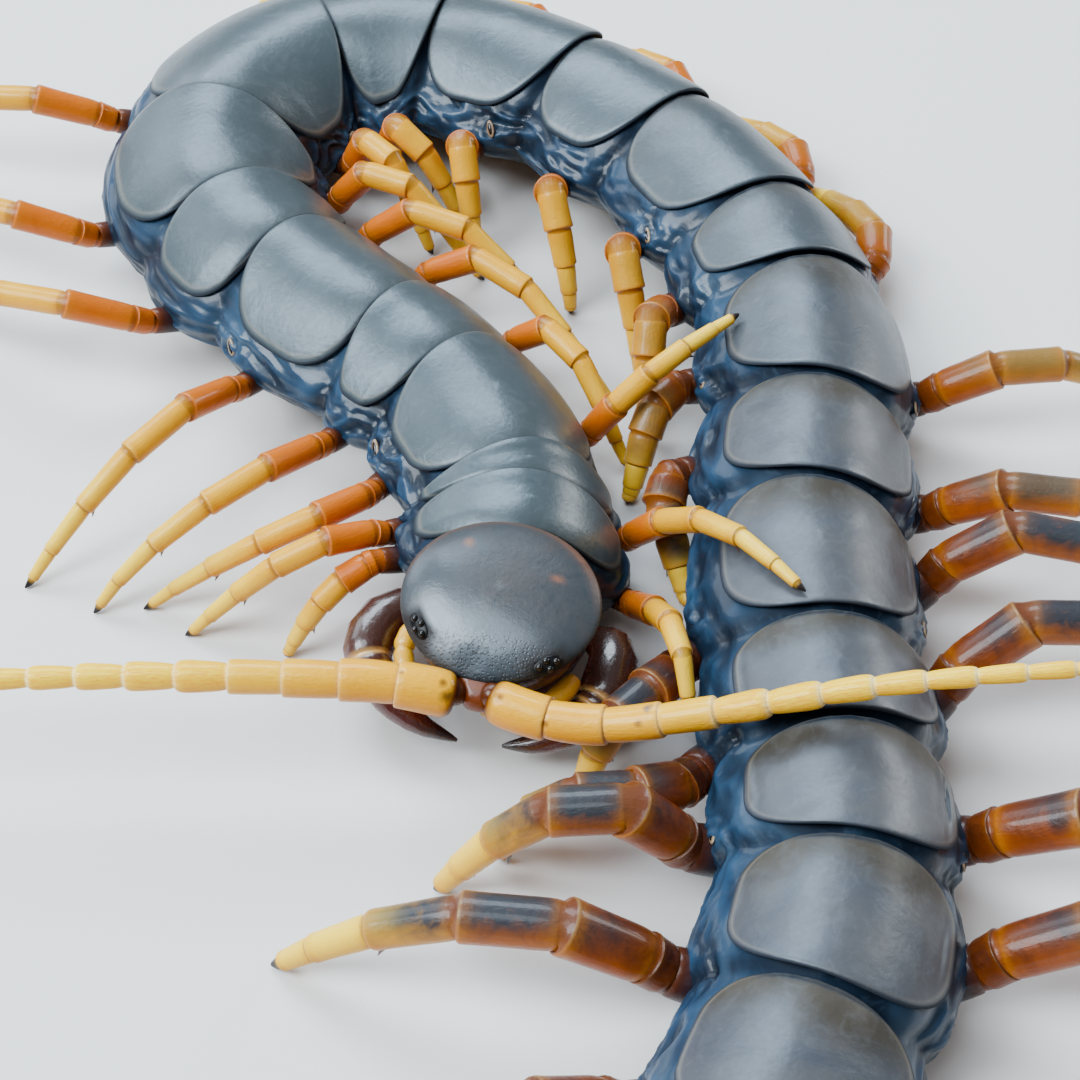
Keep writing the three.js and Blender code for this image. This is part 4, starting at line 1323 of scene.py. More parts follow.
# Profile of one article and of the claw: share of its length, and radius beside its own taper
ARTICLE_PROFILE = [
    (0.0, 0.91), (0.012, 0.92), (0.03, 0.94), (0.06, 0.96), (0.12, 0.98), (0.25, 0.99), (0.4, 0.985),
    (0.55, 0.985), (0.7, 0.985), (0.82, 0.99), (0.9, 1.0), (0.94, 1.005), (0.965, 1.0), (0.98, 0.985),
    (0.99, 0.955), (0.997, 0.925),
]
CLAW_PROFILE = [(0.0, 0.9), (0.15, 1.0), (0.4, 1.0), (0.7, 0.95), (0.9, 0.8), (1.0, 0.5)]

# Start of a leg inside its collar: distance back from the path's start, and radius beside the prefemur's
HIDDEN_START = [(1.1, 0.7), (0.5, 0.78)]

# Collar of a leg from inside the trunk to its face: distance along the coxa, radius beside the collar's
# own, and share of the leg's colour
COLLAR_PROFILE = [
    (-COXA_DEPTH, 0.85, 0), (-1.6, 0.98, 0), (-0.4, 1.03, 0), (0.5, 1.03, 0.15), (1.1, 1.02, 0.5),
    (1.6, 1.0, 0.85), (1.9, 0.97, 1), (2.05, 0.86, 1), (2.08, 0.6, 1),
]
COLLAR_GIRTH = 0.86

# Articles after which spurs grow, counted from 0, and the lean of each spur to the sides
SPUR_LEANS = {3: (-0.5, 0.5), 4: (0.0,)}
SPUR_SIZE = (0.2, 0.2, 0.4)
SPUR_CLEARANCE = 0.8

# Spines of a last leg's prefemur: shares of the leg's length, rise of each row, and half sizes
SPINE_PLACES = [0.11, 0.17, 0.23]
SPINE_RISES = [0.9, 0.1, -0.7]
SPINE_SIZE = (0.17, 0.17, 0.36)

# Article whose top changes colour more slowly, the tibia
TIBIA = 3


def leg_radius(index):
    """Radius of a leg at its prefemur."""
    if index == LAST:
        return LEG_RADIUS_LAST
    share = min(index / THICKEST_LEG, 1)
    return LEG_RADIUS_FRONT + (LEG_RADIUS_REAR - LEG_RADIUS_FRONT) * share ** 2


def leg_row(index, side):
    """The leg's row of its pose table."""
    return (RIGHT_LEGS if side > 0 else LEFT_LEGS)[index]


def leg_root(index, side):
    """Where a leg leaves the trunk: point on the flank, level way out, way to the tail and the coxa's way."""
    at, leave = leg_row(index, side)[:2]
    usual = (SEGMENTS[index][2] / 2 + ROOT_BEYOND_PLATE, ROOT_DOWN, ROOT_RISE)
    out, down, rise = LAST_ROOT if index == LAST else usual
    place = axis_frame(index, at)
    point = point_in(place, side * out, -down)
    level = unit(place[2] * np.array([1, 1, 0])) * side
    heading = level * math.cos(math.radians(leave)) + place[1] * math.sin(math.radians(leave))
    direction = heading * math.cos(math.radians(rise)) + UP * math.sin(math.radians(rise))
    return point, level, place[1], direction


def leg_path(index, side):
    """Middle line of a leg from the face of its coxa to its foot."""
    _, _, aim, reach, third, two_thirds, foot_level = leg_row(index, side)
    point, level, tail, direction = leg_root(index, side)
    start = point + direction * (COXA_FACE + GAP)
    away = level * math.cos(math.radians(aim)) + tail * math.sin(math.radians(aim))
    foot = point + away * reach
    foot[2] = foot_level
    rise = (18 * third - 9 * two_thirds - 5 * start[2] + 2 * foot_level) / 6
    fall = (18 * two_thirds - 9 * third - 5 * foot_level + 2 * start[2]) / 6
    first = start + direction * reach * 0.36
    first[2] = rise
    second = point + away * reach * 0.8
    second[2] = fall
    return bezier(start, first, second, foot)


def leg_colours(index):
    """Side colour, and top colour at the start and the end, of each article of a leg."""
    own = settings()
    share = rearness(index)
    root = blend(own.leg_root_front, own.leg_root_rear, share)
    middle = blend(own.leg_middle_front, own.leg_middle_rear, share)
    # The front legs' slightly paler femur top is a painted sheen; the rear legs' dark top is their own colour
    top_tone_and_sheen = blend(own.leg_top_sheen_front, own.leg_dusk_rear, share)
    burnt = blend(root, own.leg_burnt, 0.12 + 0.83 * share)
    tip, claw = np.array(own.leg_tip), np.array(own.claw_tip)
    # pale: the paler top of the tarsi, a painted sheen
    pale = np.array(own.leg_tip_sheen)
    ending = blend(top_tone_and_sheen, pale, 0.5 - 0.2 * share)
    return [
        (blend(root, burnt, 0.55), burnt, burnt),
        (blend(root, burnt, 0.15), blend(root, burnt, 0.8), blend(burnt, top_tone_and_sheen, 0.6 * share)),
        (middle, blend(burnt, top_tone_and_sheen, 0.85), top_tone_and_sheen), (blend(middle, tip, 0.5), top_tone_and_sheen, ending), (tip, pale, pale),
        (tip, pale, pale), (claw, claw, claw),
    ]


def joint_tones(share, near, over, faint):
    """Side and top colour beside the joints: a warm glow, a pale rim that is a painted highlight, strongest
    on top, and a dark seam.
    """
    own = settings()
    rim = math.exp(-((share - 0.972) / 0.008) ** 2)
    seam = min(1, math.exp(-(share / 0.02) ** 2) + math.exp(-((share - 0.997) / 0.006) ** 2))
    glow = math.exp(-((share - 0.93) / 0.09) ** 2) + math.exp(-((share - 0.02) / 0.08) ** 2)
    if faint:
        rim, glow = 0.3 * rim, 0.2 * glow
    tones = []
    for tone, warmth, paleness in ((near, 0.6, 0.1), (over, 0.2, 0.45)):
        tone = blend(blend(tone, own.joint_warm, warmth * glow), own.joint_ring_and_highlight, paleness * rim)
        tones.append(blend(tone, own.joint_dark, 0.6 * seam))
    return tones


def article_stations(index, order, begin, end):
    """Stations of one article of a leg, of which the last is the claw."""
    own = settings()
    start_girth, end_girth = ARTICLE_GIRTHS[order]
    side_colour, top_start, top_end = leg_colours(index)[order]
    claw = order == len(ARTICLES) - 1
    turning = (0.4, 1.0) if order == TIBIA and index >= FIRST_REAR else (0.1, 0.8)
    stations = []
    for share, swell in CLAW_PROFILE if claw else ARTICLE_PROFILE:
        point = blend(begin, end, share)
        size = leg_radius(index) * (start_girth + (end_girth - start_girth) * share) * swell
        over = blend(top_start, top_end, float(smoothstep(*turning, share)))
        if claw:
            near, over = (blend(tone, own.leg_tip, max(0, 0.6 - share * 2)) for tone in (side_colour, over))
        else:
            near, over = joint_tones(share, side_colour, over, faint=order == 0)
        level = max(point[2], size + CLAW_CLEARANCE)
        stations.append((np.array([point[0], point[1], level]), size, near, over, 0.0))
    return stations


def leg_stations(index, side):
    """Stations of a leg's sweep, from inside the coxa to the tip of the claw."""
    path = leg_path(index, side)
    direction = leg_root(index, side)[3]
    colours = leg_colours(index)[0][:2]
    stations = [
        (path.at(0) - direction * back, leg_radius(index) * girth, *colours, 0.0)
        for back, girth in HIDDEN_START
    ]
    gone = 0.0
    for order, (length, _) in enumerate(ARTICLES):
        stations += article_stations(index, order, path.at(gone), path.at(min(gone + length, 1)))
        gone += length
    return stations


def collar_stations(index, side):
    """Stations of the short collar that carries a leg."""
    own = settings()
    point, _, _, direction = leg_root(index, side)
    radius = leg_radius(index) * COLLAR_GIRTH
    flesh = np.array(own.membrane_deep)
    root = blend(leg_colours(index)[1][0], own.leg_burnt, 0.85)
    stations = []
    for along, size, share in COLLAR_PROFILE:
        place = point + direction * along
        place[2] = max(place[2], radius * size + LOWEST)
        colour = blend(flesh, root, share)
        stations.append((place, radius * size, colour, blend(colour, flesh, 0.4 * (1 - share)), 0.1))
    return stations


def leg_spurs(index, side):
    """Dark spurs under the ends of the tibia and first tarsus, and the inner spines of a last leg."""
    path = leg_path(index, side)
    radius = leg_radius(index)
    spurs = []
    ends = np.cumsum([length for length, _ in ARTICLES])
    for order, leans in SPUR_LEANS.items():
        along = path.direction(ends[order])
        across = unit(np.cross(along, UP))
        under = -np.cross(across, along)
        girth = radius * ARTICLES[order][1]
        for lean in leans:
            out = unit(under + across * lean)
            point = path.at(ends[order] - 0.01) + out * girth * 0.9
            if point[2] > SPUR_CLEARANCE:
                spurs.append((point, unit(along + out * 0.7), tuple(girth * size for size in SPUR_SIZE)))
    if index == LAST:
        inward = -leg_root(index, side)[1]
        for along in SPINE_PLACES:
            for rise in SPINE_RISES:
                out = unit(inward + UP * rise)
                facing = unit(out + path.direction(along) * 0.7)
                spurs.append((path.at(along) + out * radius * 0.92, facing, SPINE_SIZE))
    return spurs


def merged(things, name):
    """Several objects of like mesh as one."""
    with bpy.context.temp_override(active_object=things[0], selected_editable_objects=things):
        bpy.ops.object.join()
    things[0].name = name
    return things[0]


class CENTIPEDE_OT_legs(bpy.types.Operator):
    """Makes the forty-two legs, the collars that carry them and their spurs"""

    bl_idname = "centipede.legs"
    bl_label = "Legs"

    def execute(self, context):
        sides = settings().leg_sides
        finish = limb_finish(
            "leg_shell", 0.36, 0.4, Specular_IOR_Level=0.16, Coat_Weight=0.2, Coat_Roughness=0.1)
        spurs, collars = [], []
        for index in range(len(SEGMENTS)):
            slot = "leg_front" if index < FIRST_REAR else "leg_rear"
            for side, word in SIDES:
                name = f"{word}_{index + 1:02d}"
                leg = swept(f"limb_{name}", leg_stations(index, side), sides, finish)
                finished(leg, slot, f"leg_{name}")
                collars.append(swept(f"collar_{name}", collar_stations(index, side), sides, finish))
                spurs += leg_spurs(index, side)
        finished(set_beads("leg_spurs", spurs, spur_finish(), 8, pointed=True), "leg_rear")
        finished(merged(collars, "leg_collars"), "leg_rear")
        return {"FINISHED"}


# Head

# The head droops in millimetres, most at this bearing
HEAD_DROOP = 0.5
HEAD_DROOP_BEARING = 0.65

# Rings of the head plate and of the cheeks under it: share of the outline, height from the crown
HEAD_RINGS = [
    (0.0, 0), (0.12, -0.01), (0.24, -0.04), (0.36, -0.09), (0.48, -0.17), (0.58, -0.27), (0.68, -0.4),
    (0.76, -0.54), (0.83, -0.71), (0.89, -0.9), (0.93, -1.05), (0.96, -1.17), (0.98, -1.27), (0.995, -1.4),
    (1.0, -1.54), (0.995, -1.7), (0.98, -1.84), (0.95, -1.9), (0.88, -1.92), (0.7, -1.9), (0.4, -1.6),
    (0.0, -1.5),
]
DIMPLED_RINGS = 13
PITTED_RINGS = 15
CHEEK_RINGS = [
    (0.0, -1.6), (0.5, -1.7), (0.8, -1.8), (0.87, -2.0), (0.89, -2.4), (0.9, -3.1), (0.88, -3.9),
    (0.82, -4.8), (0.72, -5.7), (0.55, -6.2), (0.0, -6.3),
]

# Faint spots of the head plate, as shares ahead of its middle and to its right, and a smear at its rear
HEAD_SPOTS = [(-0.52, 0.43), (-0.25, -0.5)]
SMEAR_BEARING = math.radians(228)

# Face between the feelers, by sections: place ahead, half width, lowest and highest level
FACE_SECTIONS = [
    (2.3, 3.4, 5.8, 10.0), (3.9, 3.1, 6.0, 9.9), (5.0, 2.5, 6.4, 9.75), (5.7, 2.0, 6.8, 9.5),
    (6.3, 1.5, 7.1, 9.3), (6.8, 1.05, 7.4, 9.05), (7.1, 0.75, 7.6, 8.8), (7.25, 0.35, 7.9, 8.5),
]
FACE_SIDES = 24

# Socket of a feeler: distance before the feeler's start, distance back into the face, radius, and points
# from end to end and round it
SOCKET_BEFORE = -0.1
SOCKET_BACK = 0.35
SOCKET_RADIUS = 0.95
SOCKET_RINGS = 20
SOCKET_SIDES = 28

# Points of an eye patch from top to bottom and round it
PATCH_RINGS = 12
PATCH_SIDES = 28


def head_frame():
    """Centre of the head on the floor plan, ahead and right."""
    heading = math.radians(NECK_HEADING + HEAD_TURN)
    approach = math.radians(NECK_HEADING + HEAD_TURN / 2)
    centre = NECK - np.array([math.cos(approach), math.sin(approach), 0]) * HEAD_AHEAD
    ahead = np.array([-math.cos(heading), -math.sin(heading), 0])
    right = np.array([-math.sin(heading), math.cos(heading), 0])
    return centre, ahead, right


def in_head(place):
    """Point of the head's frame in the row frame."""
    centre, forward, sideways = head_frame()
    ahead, right, height = place
    return centre * np.array([1, 1, 0]) + forward * ahead + sideways * right + UP * height


def bearing_of(turn):
    """The turn brought between half a turn one way and half a turn the other."""
    return (turn + math.pi) % (2 * math.pi) - math.pi


def head_point(bearing, share, height):
    """Point of the head's shell at a bearing, a share of its outline and a height from the crown."""
    ahead = HEAD_HALF_LENGTH * share * math.cos(bearing)
    slope = -math.tan(math.radians(HEAD_PITCH)) * ahead
    facing = max(0.0, math.cos(bearing - HEAD_DROOP_BEARING))
    slope -= HEAD_DROOP * facing ** 2 * float(smoothstep(0.2, 1.1, share))
    return in_head((ahead, HEAD_HALF_WIDTH * share * math.sin(bearing), CROWN_LEVEL + height + slope))


def head_looks(bearing, share):
    """Tint, pits and dullness of the head plate at a bearing and a share of its outline."""
    own = settings()
    base = np.array(own.head_base)
    ahead, across = math.cos(bearing) * share, math.sin(bearing) * share
    middle = math.exp(-((ahead + 0.1) / 0.55) ** 2 - (across / 0.45) ** 2)
    rear = float(smoothstep(0.9, 0.985, share) * smoothstep(0.1, -0.5, ahead))
    front = float(smoothstep(0.9, 0.99, share) * smoothstep(0.2, 0.7, ahead))
    side = 1 if math.sin(bearing) > 0 else -1
    aside = bearing_of(bearing) - side * math.radians(EYE_BEARINGS[side])
    beside = math.exp(-(aside / 0.27) ** 4)
    beside *= float(smoothstep(EYE_AT[side] - 0.13, EYE_AT[side] - 0.07, share))
    smear = math.exp(-((share - 0.93) / 0.035) ** 2 - ((bearing - SMEAR_BEARING) / 0.4) ** 2)
    tint = blend(base, own.head_warm, 0.75 * middle)
    tint = blend(tint, own.head_rim, 0.5 * rear)
    tint = blend(tint, base * 0.3, 0.8 * front)
    tint = blend(tint, base * 0.06, 0.95 * beside)
    tint = blend(tint, own.head_spot, 0.3 * smear)
    for spot_ahead, spot_across in HEAD_SPOTS:
        spot = math.exp(-((ahead - spot_ahead) / 0.05) ** 2 - ((across - spot_across) / 0.045) ** 2)
        tint = blend(tint, own.head_spot, 0.65 * spot)
    around = float(smoothstep(0.9, 0.975, share) * smoothstep(0.75, 0.3, ahead))
    behind = float(smoothstep(0.1, -0.75, ahead)) * 0.8
    dull = min(1.0, max(beside, 0.75 * around, behind) + 0.6 * front)
    return tint, float(smoothstep(0.45, 0.85, ahead)), dull


class CENTIPEDE_OT_head(bpy.types.Operator):
    """Makes the head plate, the cheeks under it and the face between the feelers"""

    bl_idname = "centipede.head"
    bl_label = "Head"

    def execute(self, context):
        sides = settings().plate_sides + 24
        bearings = np.linspace(0, 2 * math.pi, sides, endpoint=False)
        rings, tints, pitted, dulls = [], [], [], []
        for order, (share, height) in enumerate(HEAD_RINGS):
            ring, looks = [], []
            for bearing in bearings:
                ahead, across = math.cos(bearing) * share, math.sin(bearing) * share
                dimple = -0.14 * math.exp(-((ahead - 0.88) / 0.14) ** 2 - ((across - 0.1) / 0.12) ** 2)
                ring.append(head_point(bearing, share, height + (dimple if order < DIMPLED_RINGS else 0)))
                looks.append(head_looks(bearing, share))
            rings.append(ring)
            tints.append([tint for tint, _, _ in looks])
            pitted.append([pits if order < PITTED_RINGS else 0.0 for _, pits, _ in looks])
            dulls.append([dull for _, _, dull in looks])
        plate = Joined()
        plate.add(rings, tint=tints, pitted=pitted, dull=dulls)
        finished(plate.make("head_plate", head_finish()), "head_shell", "head")
        self.underside(bearings)
        return {"FINISHED"}

    def underside(self, bearings):
        """Cheeks under the plate, the face between the feelers and their sockets."""
        own = settings()
        cheek, dark, amber = (np.array(colour) for colour in (own.jaw, own.jaw_dark, own.face))
        count = len(bearings)
        rings, tints = [], []
        for share, height in CHEEK_RINGS:
            rings.append([head_point(bearing, share, height) for bearing in bearings])
            tints.append([blend(dark, cheek, float(smoothstep(-1.8, -5, height)))] * count)
        shells = Joined()
        shells.add(rings, tint=tints, pitted=[[0.0] * count] * len(rings))
        rings = [smooth_section(row, FACE_SIDES) for row in FACE_SECTIONS]
        shells.add(
            rings, tint=[[amber] * FACE_SIDES] * len(rings), pitted=[[0.4] * FACE_SIDES] * len(rings))
        for points in ANTENNAE.values():
            mouth, beyond = in_head(points[0]), in_head(points[1])
            toward = unit(beyond - mouth)
            centre = mouth - toward * SOCKET_BEFORE - head_frame()[1] * SOCKET_BACK
            socket, tones, pits = ball(
                centre, SOCKET_RADIUS, toward, SOCKET_RINGS, SOCKET_SIDES, amber * 0.45, dark)
            shells.add(socket, tint=tones, pitted=pits)
        finished(shells.make("head_underside", face_finish()), "head_shell")


def ball(centre, radius, axis, rings, sides, tone, dark):
    """Rings of a ball round an axis with its tones and pits, darker where its axis leaves it."""
    across = unit(np.cross(axis, UP))
    other = np.cross(axis, across)
    turns = np.linspace(0, 2 * math.pi, sides, endpoint=False)
    made, tones = [], []
    for angle in np.linspace(0.03, math.pi - 0.03, rings):
        flat = radius * math.sin(angle)
        middle = centre + axis * radius * math.cos(angle)
        made.append([middle + flat * (across * math.cos(t) + other * math.sin(t)) for t in turns])
        tones.append([blend(tone, dark, float(smoothstep(1.1, 0.5, angle)))] * sides)
    return made, tones, [[0.2] * sides] * rings


def smooth_section(row, count):
    """Rounded ring across the head at a place ahead of its centre."""
    ahead, half, low, high = row
    middle, tall = (low + high) / 2, (high - low) / 2
    ring = []
    for angle in np.linspace(0, 2 * math.pi, count, endpoint=False):
        c, s = math.cos(angle), math.sin(angle)
        across = half * math.copysign(abs(c) ** 0.7, c)
        ring.append(in_head((ahead, across, middle + tall * math.copysign(abs(s) ** 0.8, s))))
    return ring


def eye_frame(side):
    """Centre of an eye patch, with outward, along and normal directions."""
    bearing = side * math.radians(EYE_BEARINGS[side])
    centre = head_point(bearing, EYE_AT[side], -EYE_DROP[side])
    out = unit(head_point(bearing, 1, -1.5) - head_point(bearing, 0.8, -0.7))
    along = unit(head_point(bearing + 0.05, 0.93, 0) - head_point(bearing - 0.05, 0.93, 0))
    normal = unit(np.cross(out, along))
    normal = normal * np.sign(normal[2])
    return centre, np.cross(along, normal), along, normal


class CENTIPEDE_OT_eyes(bpy.types.Operator):
    """Sets four simple eyes in a dark patch on each side of the head"""

    bl_idname = "centipede.eyes"
    bl_label = "Eyes"

    def execute(self, context):
        lens, shell = eye_finish(), eye_patch_finish()
        for side, word in SIDES:
            centre, outward, along, normal = eye_frame(side)
            beads = []
            for out, forward in EYE_SPOTS:
                point = centre + outward * out + along * forward + normal * EYE_PATCH[2] * 0.7
                beads.append((point, normal, (EYE_RADIUS, EYE_RADIUS, EYE_RADIUS * 0.9)))
            finished(set_beads(f"eye_lenses_{word}", beads, lens, 20), "eye", f"eyes_{word}")
            rings = []
            for angle in np.linspace(0.02, math.pi - 0.02, PATCH_RINGS):
                flat, level = math.sin(angle), normal * EYE_PATCH[2] * math.cos(angle)
                rings.append([
                    centre + outward * EYE_PATCH[0] * flat * math.cos(turn)
                    + along * EYE_PATCH[1] * flat * math.sin(turn) + level
                    for turn in np.linspace(0, 2 * math.pi, PATCH_SIDES, endpoint=False)
                ])
            patch = Joined()
            patch.add(rings)
            finished(patch.make(f"eye_patch_{word}", shell), "eye")
        return {"FINISHED"}


# Feelers

# Profiles of a feeler's articles: share of the article's length, and radius beside the feeler's own taper
FIRST_ARTICLE = [
    (0, 0.5), (0.01, 0.66), (0.03, 0.78), (0.06, 0.86), (0.11, 0.93), (0.18, 0.98), (0.3, 1.0), (0.45, 1.0),
    (0.65, 0.99), (0.85, 0.985), (0.95, 0.975), (0.98, 0.95), (0.993, 0.92),
]
SMOOTH_ARTICLE = [
    (0, 0.92), (0.012, 0.92), (0.03, 0.94), (0.08, 0.955), (0.2, 0.97), (0.4, 0.985), (0.6, 0.995),
    (0.8, 1.0), (0.93, 0.995), (0.975, 0.975), (0.992, 0.94),
]
FURRED_ARTICLE = [
    (0, 0.8), (0.02, 0.81), (0.05, 0.84), (0.1, 0.88), (0.18, 0.92), (0.3, 0.96), (0.45, 0.99), (0.6, 1.02),
    (0.75, 1.04), (0.86, 1.02), (0.93, 0.96), (0.97, 0.89), (0.99, 0.83),
]
LAST_ARTICLE = [
    (0, 0.82), (0.03, 0.86), (0.1, 0.92), (0.4, 0.98), (0.7, 0.9), (0.88, 0.7), (0.97, 0.4), (1, 0.15),
]
FURRED_MATTNESS = 0.9

# Flecks of the feelers: side, articles from the root, lean towards the front, radius and linear tone
FLECKS = [
    ("left", 2.72, -0.1, 0.48, (0.035, 0.05, 0.09)), ("left", 2.55, 0.8, 0.42, (0.22, 0.09, 0.02)),
    ("left", 0.95, 1.2, 0.4, (0.25, 0.09, 0.01)), ("left", 0.16, 0.4, 0.5, (0.12, 0.04, 0.006)),
    ("right", 0.2, 0.2, 0.42, (0.1, 0.035, 0.006)), ("right", 0.14, 0.9, 0.62, (0.045, 0.016, 0.004)),
    ("right", 0.9, 0.1, 0.26, (0.2, 0.08, 0.01)),
]


def head_path(points):
    """Smooth path through points of the head's frame."""
    return through([in_head(p) for p in points])


def antenna_share(articles):
    """Share of a feeler's length that its first articles take up, each a little longer than the next."""
    share = articles / ANTENNA_ARTICLES
    return share * (1 + ANTENNA_CROWDING * (1 - share))


def antenna_radius(word, share):
    """Radius of a feeler at a share of its length."""
    thick, thin = ANTENNA_RADII[word]
    return thick * (thin / thick) ** share


def article_profile(order):
    """Profile of one article of a feeler."""
    if order == 0:
        return FIRST_ARTICLE
    if order == ANTENNA_ARTICLES - 1:
        return LAST_ARTICLE
    return SMOOTH_ARTICLE if order < SMOOTH_ARTICLES else FURRED_ARTICLE


def antenna_tone(tone, order, share, further):
    """The tone with the dark seam, the brown root of the first article and the pale rings."""
    own = settings()
    seam = math.exp(-(share / 0.012) ** 2) * (1 - further) if order else 0
    root = 1 - float(smoothstep(0.02, 0.22, share)) if order == 0 else 0
    ring = math.exp(-((share - 0.985) / 0.04) ** 2) + math.exp(-((share + 0.01) / 0.04) ** 2)
    ring = (0.1 + 0.6 * further) * min(ring, 1) * (1 - root)
    tone = blend(tone, own.antenna_seam, 0.85 * seam)
    return blend(blend(tone, np.array(own.face) * 0.5, root), own.antenna_joint, ring)


def antenna_stations(points, word):
    """Stations of a feeler: seventeen articles, the first few smooth and glossy."""
    own = settings()
    path = head_path(points)
    stations = []
    for order in range(ANTENNA_ARTICLES):
        begin, end = antenna_share(order), antenna_share(order + 1)
        radius = antenna_radius(word, begin)
        further = float(smoothstep(1.0, 6, order))
        side_colour = blend(own.antenna_root, own.antenna_tip, further)
        # The upper side is paler: a painted sheen
        sheen_top_colour = blend(own.antenna_root_sheen, own.antenna_tip_sheen, further)
        matte = 0.0 if order < SMOOTH_ARTICLES else FURRED_MATTNESS
        for share, swell in article_profile(order):
            near, over = (antenna_tone(tone, order, share, further) for tone in (side_colour, sheen_top_colour))
            where = begin + (end - begin) * share
            stations.append((path.at(where), radius * swell, near, over, matte))
    return stations


class CENTIPEDE_OT_antennae(bpy.types.Operator):
    """Makes the two feelers of seventeen articles"""

    bl_idname = "centipede.antennae"
    bl_label = "Feelers"

    def execute(self, context):
        finish = limb_finish(
            "feeler_shell", 0.34, 0.7, self.flecks(), Specular_IOR_Level=0.14, Coat_Weight=0.3,
            Coat_Roughness=0.07)
        for word, points in ANTENNAE.items():
            feeler = swept(f"feeler_{word}", antenna_stations(points, word), settings().leg_sides + 8, finish)
            finished(feeler, "antenna", f"antenna_{word}")
        return {"FINISHED"}

    def flecks(self):
        """Flecks of the feelers: place on the upper side in metres, radius and tone."""
        made = []
        front = np.array(CAMERA_PLACE) * np.array([0, 1, 0]) / CAMERA_PLACE[1]
        for word, articles, aside, radius, tone in FLECKS:
            along = antenna_share(articles)
            place = head_path(ANTENNAE[word]).at(along)
            place = place + unit(UP - aside * front) * antenna_radius(word, along)
            made.append((place * MM, radius * MM, tone))
        return made


# Mouthparts

# Poison claw from its root to its tip, and a palp: share of the length and radius. The claw's creases are
# at shares of its length
FANG_PROFILE = [
    (0, 1.2), (0.05, 1.5), (0.1, 1.7), (0.2, 1.88), (0.3, 1.92), (0.38, 1.85), (0.415, 1.74), (0.43, 1.56),
    (0.437, 1.48), (0.445, 1.55), (0.46, 1.62), (0.485, 1.62), (0.495, 1.5), (0.502, 1.4), (0.51, 1.44),
    (0.53, 1.5), (0.55, 1.48), (0.56, 1.36), (0.568, 1.26), (0.58, 1.3), (0.64, 1.25), (0.7, 1.12),
    (0.78, 0.92), (0.86, 0.68), (0.93, 0.44), (0.975, 0.26), (1, 0.12),
]
FANG_CREASES = [0.437, 0.502, 0.568]
PALP_PROFILE = [
    (0, 0.5), (0.06, 0.7), (0.15, 0.78), (0.28, 0.8), (0.33, 0.74), (0.35, 0.62), (0.37, 0.66), (0.42, 0.74),
    (0.6, 0.72), (0.67, 0.66), (0.69, 0.54), (0.72, 0.58), (0.8, 0.6), (0.9, 0.52), (0.96, 0.38), (1, 0.16),
]

# Rings and sides of the plate that carries the claws, and its teeth: count on each side, place ahead,
# distance from the middle, step to the next, level, length, drop, radius, rings and sides
CARRIER_RINGS = 16
CARRIER_SIDES = 32
TEETH = 4
TOOTH_AHEAD = 3.0
TOOTH_ASIDE = 0.45
TOOTH_STEP = 0.5
TOOTH_LEVEL = 4.1
TOOTH_LENGTH = 0.9
TOOTH_DROP = 0.1
TOOTH_RADIUS = 0.26
TOOTH_RINGS = 5
TOOTH_SIDES = 10


